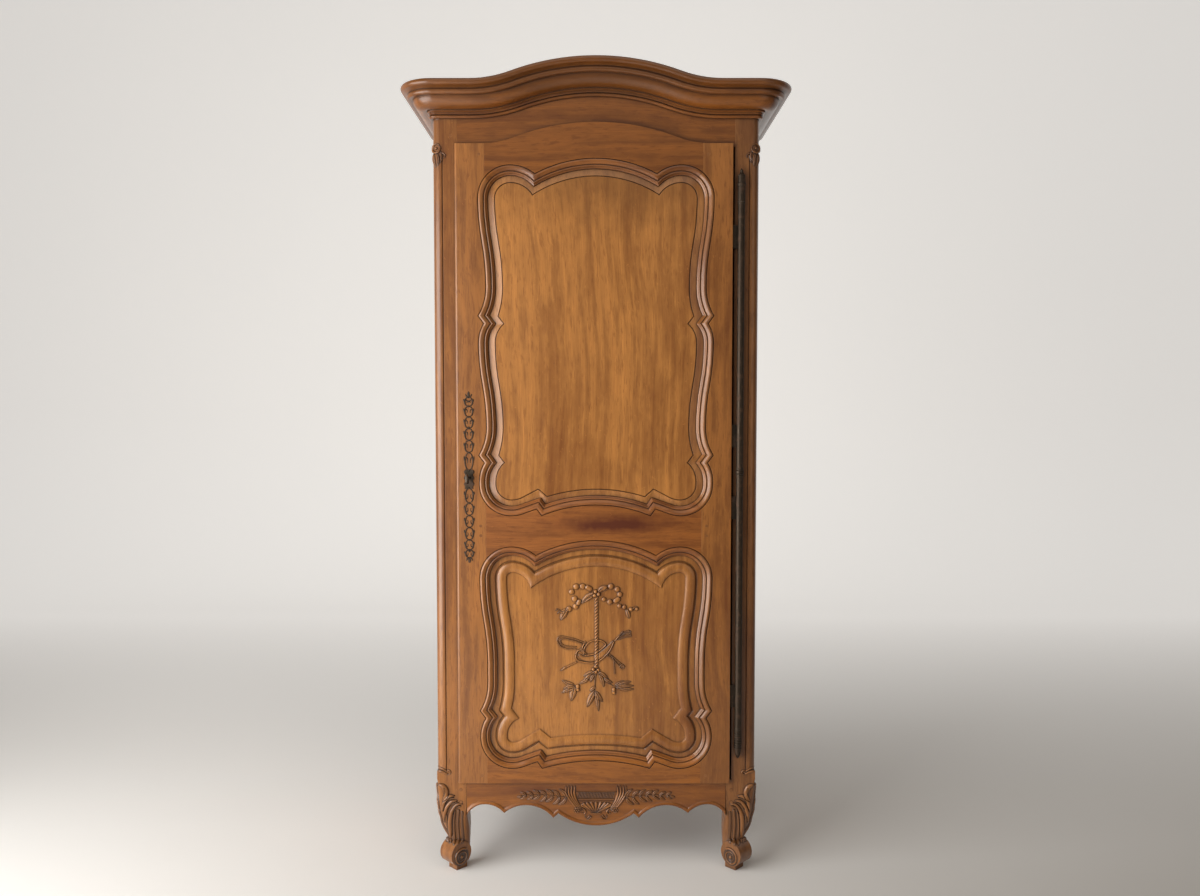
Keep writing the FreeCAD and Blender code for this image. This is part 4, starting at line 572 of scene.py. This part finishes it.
for s in (-1, 1):
    for out, size in ((0, 8), (8.5, 7.5), (16.5, 7), (24, 6)):
        apron.stroke([(s * (57 + out), 231), (s * (59 + out * 0.9), 213),
                      (s * (55 + out * 0.72), 196), (s * (46 + out * 0.5), 179 - out * 0.1),
                      (s * (38 + out * 0.2), 169 - out * 0.25)], size, 4.4, shape="swell")
    apron.stroke([(s * 37, 171), (s * 31, 166), (s * 29, 159), (s * 34, 155), (s * 39, 158)],
                 5, 4.4, shape="swell")
    for petal in range(6):
        turn = math.pi / 3 * petal
        apron.bead(s * 52 + 5.4 * math.cos(turn), 165 + 5.4 * math.sin(turn), 6, 3.6)
    apron.bead(s * 52, 165, 5, 4.6)
    for points in ([(s * 18, 150), (s * 24, 144), (s * 30, 147), (s * 27, 152)],
                   [(s * 14, 147), (s * 20, 141), (s * 27, 140)]):
        apron.stroke(points, 4.6, 3.2, shape="taper")
    stem = curve([(s * 78, 200), (s * 108, 203), (s * 140, 206), (s * 176, 206), (s * 206, 203)], 1.0)
    apron.stroke([tuple(stem[i]) for i in range(0, len(stem), 12)], 3, 2.8)
    for count in range(7):
        u, v = stem[int((count + 0.2) / 7.2 * len(stem))]
        for way in (-1, 1):
            turn = math.radians(47 - 3 * count + 5 * math.sin(3.1 * count + way))
            size = 30 - 1.9 * count
            tip = (u + s * size * math.cos(turn), v + way * size * math.sin(turn))
            bend = (u + s * size * 0.42 * math.cos(turn * 1.3),
                    v + way * size * 0.5 * math.sin(turn * 1.3))
            apron.stroke([(u, v), bend, tip], 9.6 - 0.35 * count, 4.0, cut=cut_leaf, shape="leaf")
    apron.stroke([(s * 200, 204), (s * 214, 201)], 7, 3.4, cut=cut_leaf, shape="leaf")
apron.carve("apron_carving", "carcass", on_plane(APRON_FACE),
            timber("carved_apron", ACROSS, SEEDS["apron_rail"], CHESTNUT, wax_and_shade=0.95, shaded_lit_relief=True))

# ---- Carved knees -----------------------------------------------------------------------------
# Each front leg has an acanthus wrapped round the outer corner of its knee: a curled leaf on top,
# three fingers under it, and reeds that run down to the foot. Front and side are cut alike.
BEND_LEVELS, BEND_FORWARD = (58, 85, 105, 126, 149), (31, 22, 13, 6, 2)
for view, ray, corner, bent in (("front", (0, 1, 0), -430, 0), ("side", (1, 0, 0), -199, 1)):
    knee = Relief((corner - 36, 50), (corner + 92, 246), 0.6)

    def from_corner(x, z):
        """A point x from the outer corner; the side follows the leg as it comes forward."""
        return (corner + x - bent * float(np.interp(z, BEND_LEVELS, BEND_FORWARD)), z)

    for points, width, height, shape in (
            ([(45.3, 160), (43, 121), (45.3, 79)], 9, 2.4, "even"),
            ([(57, 163), (54.4, 128), (57, 79)], 8, 2.2, "even"),
            ([(21.9, 150), (28.6, 114), (31.5, 79)], 9, 2.4, "even"),
            ([(67, 158), (66, 128), (68.5, 79)], 7, 1.6, "even"),
            ([(65.4, 181.8), (50.4, 178), (38, 158), (33.6, 128), (36.3, 79)], 13, 4.2, "swell"),
            ([(54.4, 191), (38.6, 188), (24.6, 170), (18, 146), (19, 128)], 12, 4.4, "leaf"),
            ([(47, 204.5), (30.2, 201.5), (17.9, 184), (14, 160)], 12, 4.6, "leaf"),
            ([(5, 236), (17, 230), (24, 216), (22, 202), (13, 190)], 15, 5.0, "leaf")):
        knee.stroke([from_corner(*point) for point in points], width, height * 1.35, shape=shape,
                    trench=2.0)
    for points in ([(20, 226), (21, 214), (17, 203)], [(44, 199), (31, 196), (22, 184)],
                   [(52, 186), (40, 183), (28, 168)], [(62, 176), (51, 172), (42, 154)]):
        knee.stroke([from_corner(*point) for point in points], 2.4, 5.4, shape="taper")
    carved = timber("carved_knee_" + view, UPRIGHT, 4.5, UMBER, wax_and_shade=0.95, shaded_lit_relief=True)
    for side, mirror in (("left", False), ("right", True)):
        knee.carve(f"{side}_knee_{view}", "carcass", on_mesh("left_front_stile", ray), carved,
                   mirror=mirror)

# ---- Volutes of the feet ------------------------------------------------------------------------
# The roll of each foot ends, inwards and to the front, in a raised spiral round a button, cut in
# the end grain of the leg with a gouge and left with a groove between its turns.
ROLL_END, EYE_DROP, TURNS, START = (-364.0, -208.0, 48.5), 9.0, 1.9, math.radians(55)
volute = Relief((-34, -34), (34, 34), 0.6)
grid_u, grid_v = np.meshgrid(volute.u, volute.v)
volute.height[np.hypot(grid_u, grid_v + EYE_DROP) < 23.5] = 0.5
spiral = [(turn, 23.0 - 15.5 * (turn / TURNS) ** 0.9) for turn in np.linspace(0, TURNS, 44)]
volute.stroke([(r * math.cos(START + math.tau * t), r * math.sin(START + math.tau * t) - EYE_DROP)
               for t, r in spiral], 6.4, 4.0, shape="taper", trench=1.2)
volute.bead(0, -EYE_DROP, 10, 4.4)


def on_roll(u, v, h):
    """Places the volute on the end of the roll, which faces inwards and to the front."""
    x, y, z = ROLL_END
    slant = math.sqrt(0.5)
    return np.stack([x + (u + h) * slant, y + (u - h) * slant, z + v], axis=-1) / 1000


for side, mirror in (("left", False), ("right", True)):
    volute.carve(side + "_volute", "carcass", on_roll, carved, mirror=mirror, sink=0.3)

# ---- Scrolls at the ends of the reeded corners ------------------------------------------------------
# The rounded corner of each stile starts under a small rolled scroll with a hanging leaf, and ends
# above the knee on a turned-over leaf.
stop = Relief((-431, 1872), (-378, 1960), 0.5)
stop.stroke([(-419 + 10.5 * math.cos(a), 1934.5 + 11.5 * math.sin(a))
             for a in np.linspace(0.6, 6.9, 18)], 5.4, 4.6, shape="swell")
stop.bead(-419, 1934.5, 7, 4.2)
stop.stroke([(-402, 1922), (-396, 1916), (-398, 1909)], 5, 3.0, shape="taper")
for points, width in (([(-427, 1923), (-426, 1906), (-421, 1884)], 8),
                      ([(-417, 1921), (-414, 1906), (-416, 1888)], 8),
                      ([(-409, 1927), (-405, 1914), (-409, 1896)], 7)):
    stop.stroke(points, width, 4.0, cut=cut_leaf, shape="leaf")
foot = Relief((-431, 255), (-378, 300), 0.5)
for points, width in (([(-428, 273), (-414, 270), (-400, 263)], 6),
                      ([(-428, 282), (-416, 279), (-404, 273)], 5)):
    foot.stroke(points, width, 2.8, shape="swell")
foot.stroke([(-404, 272), (-398, 275), (-394, 271), (-396, 265), (-401, 264)], 4, 3.2, shape="swell")
STILE_FRONT = on_mesh("left_front_stile", (0, 1, 0))
for side, mirror in (("left", False), ("right", True)):
    stop.carve(side + "_reed_scroll", "carcass", STILE_FRONT, carved, mirror=mirror)
    foot.carve(side + "_reed_stop", "carcass", STILE_FRONT, carved, mirror=mirror)

# ---- Escutcheon ---------------------------------------------------------------------------------
# A long strip of sheet iron, sawn and filed into a chain of paired scrolls with leaf tips, round a
# plate with the keyhole. It is nailed to the face of the door with six small round heads.
LOCK_PLATE, DOOR_FACE, SHEET = (-337.0, 1068.0), -0.2111, 1.3


def cut_sheet(s, side, along, half):
    """Flat top with a filed edge."""
    return np.clip((1 - s) * half / 0.5, 0, 1) ** 0.5


strip = Relief((-15, -226), (15, 232), 0.35)


def filed(points, width, shape, trench=0.3):
    """One bar or leaf of the pierced sheet."""
    strip.stroke(points, width, SHEET, cut=cut_sheet, shape=shape, trench=trench)


plate_u, plate_v = np.meshgrid(strip.u, strip.v)
edge = 11.5 + 1.6 * np.cos(plate_v / 24 * 2 * math.pi * 1.5)
strip.height[(np.abs(plate_v + 3.5) < 25) & (np.abs(plate_u) < edge)] = SHEET
# Each chain grows up (1) or down (-1) from an end of the plate, over the middles of its cells.
CHAINS = {1: (1089, (1119, 1152, 1184, 1215, 1245, 1271)), -1: (1040, (1019, 983, 953, 919, 886, 866))}
for way, (start, levels) in CHAINS.items():
    ends = [start, *((a + b) / 2 for a, b in zip(levels, levels[1:])), levels[-1] + way * 11]
    ends = [end - LOCK_PLATE[1] for end in ends]
    for low, high in zip(ends, ends[1:]):
        mid, tall = (low + high) / 2, (high - low) / 2
        for s in (-1, 1):
            filed([(s * 1.4, low), (s * 8, low + tall * 0.32), (s * 10.4, mid),
                   (s * 7.6, high - tall * 0.3), (s * 1.2, high)], 3.3, "swell")
            filed([(s * 8.8, mid + tall * 0.45), (s * 4.4, mid + tall * 0.3),
                   (s * 3.6, mid - tall * 0.1), (s * 6.2, mid - tall * 0.2)], 2.3, "taper")
            filed([(s * 9.6, mid - tall * 0.1), (s * 12.4, mid + way * tall * 0.25),
                   (s * 13.2, mid + way * tall * 0.62)], 3.0, "leaf")
        strip.bead(0, high, 4.6, SHEET, cut=cut_sheet, trench=0.3)
    tip = ends[-1]
    filed([(0, tip - 2), (0, tip + way * 6), (0, tip + way * 15)], 6.5, "leaf", trench=1.0)
    for s in (-1, 1):
        filed([(0, tip), (s * 6, tip + way * 3), (s * 8.5, tip + way * 9)], 3, "leaf", trench=1.0)
for u, v in ((0, 20), (0, -26.5), (0, 134), (0, -132), (0, 203), (0, -196)):
    strip.bead(u, v, 4.2, 0.9, lift=SHEET)
keyhole = np.hypot(plate_u + 3, plate_v) < 4.3
keyhole |= (np.abs(plate_u + 3) < 2.4) & (plate_v < 0) & (plate_v > -15)
strip.height[keyhole] = 0
made = strip.carve("escutcheon_pierced", "door", on_plane(DOOR_FACE, *LOCK_PLATE),
                   forged("escutcheon_worn", (0.06, 0.044, 0.031, 1)), sink=0.0, low=0.25)
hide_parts("lock_escutcheon")

# ---- Nails and rivets ---------------------------------------------------------------------------
# Each back board is fixed to the three rails with two hand-made rose-head nails, their heads
# hammered to four slopes. Four more hold the lock case to the inside of the door.


def nail_heads(name, body, spots, size, tall, material):
    """Sloped heads standing on a face that looks to the back; spots are points in mm."""
    sides, points, faces = 8, [], []
    for count, (x, y, z) in enumerate(spots):
        base = len(points)
        for radius, rise in ((size, 0.0), (size * 0.9, tall * 0.45), (size * 0.25, tall)):
            for corner in range(sides):
                turn = 0.7 * count + corner * math.tau / sides
                reach = radius * (1 if corner % 2 else 0.9)
                points.append(((x + reach * math.cos(turn)) / 1000, (y + rise) / 1000,
                               (z + reach * math.sin(turn)) / 1000))
        for low in (base, base + sides):
            for corner in range(sides):
                after = (corner + 1) % sides
                faces.append([low + corner, low + after, low + sides + after, low + sides + corner])
        faces.append([base + 2 * sides + corner for corner in range(sides)])
    mesh = bpy.data.meshes.new(name)
    mesh.from_pydata(points, [], faces)
    made = bpy.data.objects.new(name, mesh)
    bpy.context.scene.collection.objects.link(made)
    mesh.materials.append(material)
    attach(made, body)


BOARDS_FACE, BOARD_WIDE, RAIL_LEVELS = 276.8, 132.6, (230, 1080, 2016)
nail_heads("back_nails", "carcass",
           [((count - 2.5) * BOARD_WIDE + s * 42 + 2 * math.sin(count + z), BOARDS_FACE, z + 5 * s)
            for count in range(6) for s in (-1, 1) for z in RAIL_LEVELS],
           4.2, 1.8, forged("nail_iron", (0.06, 0.045, 0.035, 1)))
LOCK_BACK, LOCK_SIDES, LOCK_ENDS = -162.2, (-353, -289), (1021, 1115)
nail_heads("lock_nails", "door", [(x, LOCK_BACK, z) for x in LOCK_SIDES for z in LOCK_ENDS],
           3.6, 1.6, LOCK_IRON)

# ---- Smooth shading of the turned and moulded pieces ------------------------------------------
# Moulding planes and the lathe leave curves without facets, so every carried-over piece is shaded
# smooth up to the angle at which a real arris would be left.


def smooth_tree():
    """Geometry nodes that weld the facets and keep an edge sharp from 28 degrees on."""
    tree = bpy.data.node_groups.new("smooth_up_to_arris", "GeometryNodeTree")
    for direction in ("INPUT", "OUTPUT"):
        tree.interface.new_socket("Geometry", in_out=direction, socket_type="NodeSocketGeometry")
    nodes, links = tree.nodes, tree.links
    given, out = nodes.new("NodeGroupInput"), nodes.new("NodeGroupOutput")
    merge = nodes.new("GeometryNodeMergeByDistance")
    merge.inputs["Distance"].default_value = 0.000005
    faces, arris = nodes.new("GeometryNodeSetShadeSmooth"), nodes.new("GeometryNodeSetShadeSmooth")
    arris.domain = "EDGE"
    angle = nodes.new("GeometryNodeInputMeshEdgeAngle")
    sharp = nodes.new("FunctionNodeCompare")
    sharp.operation = "LESS_THAN"
    sharp.inputs[1].default_value = math.radians(28)
    links.new(angle.outputs["Unsigned Angle"], sharp.inputs[0])
    links.new(given.outputs[0], merge.inputs["Geometry"])
    links.new(merge.outputs[0], faces.inputs["Geometry"])
    links.new(faces.outputs[0], arris.inputs["Geometry"])
    links.new(sharp.outputs[0], arris.inputs["Shade Smooth"])
    links.new(arris.outputs[0], out.inputs[0])
    return tree


SMOOTH = smooth_tree()
for carried in NODES.values():
    carried.modifiers.new("smooth", "NODES").node_group = SMOOTH

# ---- Studio ---------------------------------------------------------------------------------
# A pale seamless sweep of painted board, a large soft window light from the left, a weak fill from
# the right and a weak ceiling light. The wall is lit for the eye alone and adds no light.


def sweep():
    """Floor that rises into a wall behind the object in one curve, which throws back only a
    low warm light, as a wooden floor does."""
    wide, front, wall, bend, high, steps = 24.0, -14.0, 4.4, 1.2, 14.0, 24
    line = [(front, 0.0), (wall - bend, 0.0)]
    line += [(wall - bend + bend * math.sin(a), bend - bend * math.cos(a))
             for a in (math.pi / 2 * i / steps for i in range(1, steps + 1))]
    line.append((wall, high))
    verts = [(x, y, z) for y, z in line for x in (-wide, wide)]
    faces = [(2 * i, 2 * i + 1, 2 * i + 3, 2 * i + 2) for i in range(len(line) - 1)]
    mesh = bpy.data.meshes.new("studio_sweep")
    mesh.from_pydata(verts, [], faces)
    mesh.shade_smooth()
    made = bpy.data.objects.new("studio_sweep", mesh)
    bpy.context.scene.collection.objects.link(made)
    paint = bpy.data.materials.new("studio_paint")
    paint.use_nodes = True
    tree = paint.node_tree
    shader = tree.nodes["Principled BSDF"]
    place = put(tree, "TexCoord").outputs["Object"]
    grain = put(tree, "TexNoise", {"Vector": place, "Scale": 1.3, "Detail": 3.0}).outputs["Fac"]
    tone = blend(tree, grain, (0.86, 0.85, 0.83, 1), (0.91, 0.9, 0.88, 1))
    ray = put(tree, "LightPath").outputs
    seen = calc(tree, "MAXIMUM", ray["Is Camera Ray"], ray["Is Glossy Ray"])
    seen = calc(tree, "MAXIMUM", seen, ray["Is Transmission Ray"])
    bounced = (0.4, 0.3, 0.2, 1)
    tone = blend(tree, seen, bounced, tone)
    tree.links.new(tone, shader.inputs["Base Color"])
    where = put(tree, "SeparateXYZ", {0: place}).outputs
    glow = calc(tree, "MAXIMUM", span(tree, where["Z"], 0.0, 1.2, 0, 0.55),
                span(tree, where["Y"], -0.4, 3.0, 0, 0.55))
    tree.links.new(calc(tree, "MULTIPLY", glow, seen), shader.inputs["Emission Strength"])
    shader.inputs["Emission Color"].default_value = (1.0, 0.985, 0.96, 1)
    shader.inputs["Roughness"].default_value = 0.85
    mesh.materials.append(paint)


sweep()
# Each lamp: where it stands, what it faces, its side in metres, its watts and its tint.
LAMPS = {"window": ((-2.0, -1.55, 1.0), (0, -0.1, 0.8), 2.3, 97.0, (1.0, 0.985, 0.96)),
         "fill": ((2.4, -3.2, 1.6), (0, 0, 0.9), 2.4, 12.0, (1.0, 0.9, 0.78)),
         "ceiling": ((0.0, -1.8, 3.6), (0, 0, 0.6), 2.4, 19.0, (1.0, 0.93, 0.84))}
for name, (place, aim, side, power, tint) in LAMPS.items():
    light = bpy.data.lights.new(name, "AREA")
    light.energy, light.size, light.color = power, side, tint
    lamp = bpy.data.objects.new(name, light)
    lamp.matrix_world = Matrix.Translation(place) @ (
        Vector(aim) - Vector(place)).to_track_quat("-Z", "Y").to_matrix().to_4x4()
    bpy.context.scene.collection.objects.link(lamp)
world = bpy.data.worlds.new("room_light")
world.use_nodes = True
bpy.context.scene.world = world
sky = world.node_tree.nodes["Background"]
sky.inputs["Color"].default_value = (1.0, 0.9, 0.78, 1)
sky.inputs["Strength"].default_value = 0.11
bpy.context.scene.view_settings.view_transform = "Standard"

# The camera stands 2.9 m off, a little under eye level, and is tipped a little down.
EYE, PITCH, ROLL, YAW, LENS = (0.0127, -2.8956, 1.2791), 0.0489, 0.0, 0.0008, 30.43
lens = bpy.data.cameras.new("camera")
lens.lens, lens.sensor_width = LENS, 36.0
camera = bpy.data.objects.new("camera", lens)
camera.location = EYE
camera.rotation_euler = (math.pi / 2 - PITCH, ROLL, YAW)
bpy.context.scene.collection.objects.link(camera)
bpy.context.scene.camera = camera

bpy.context.view_layer.update()
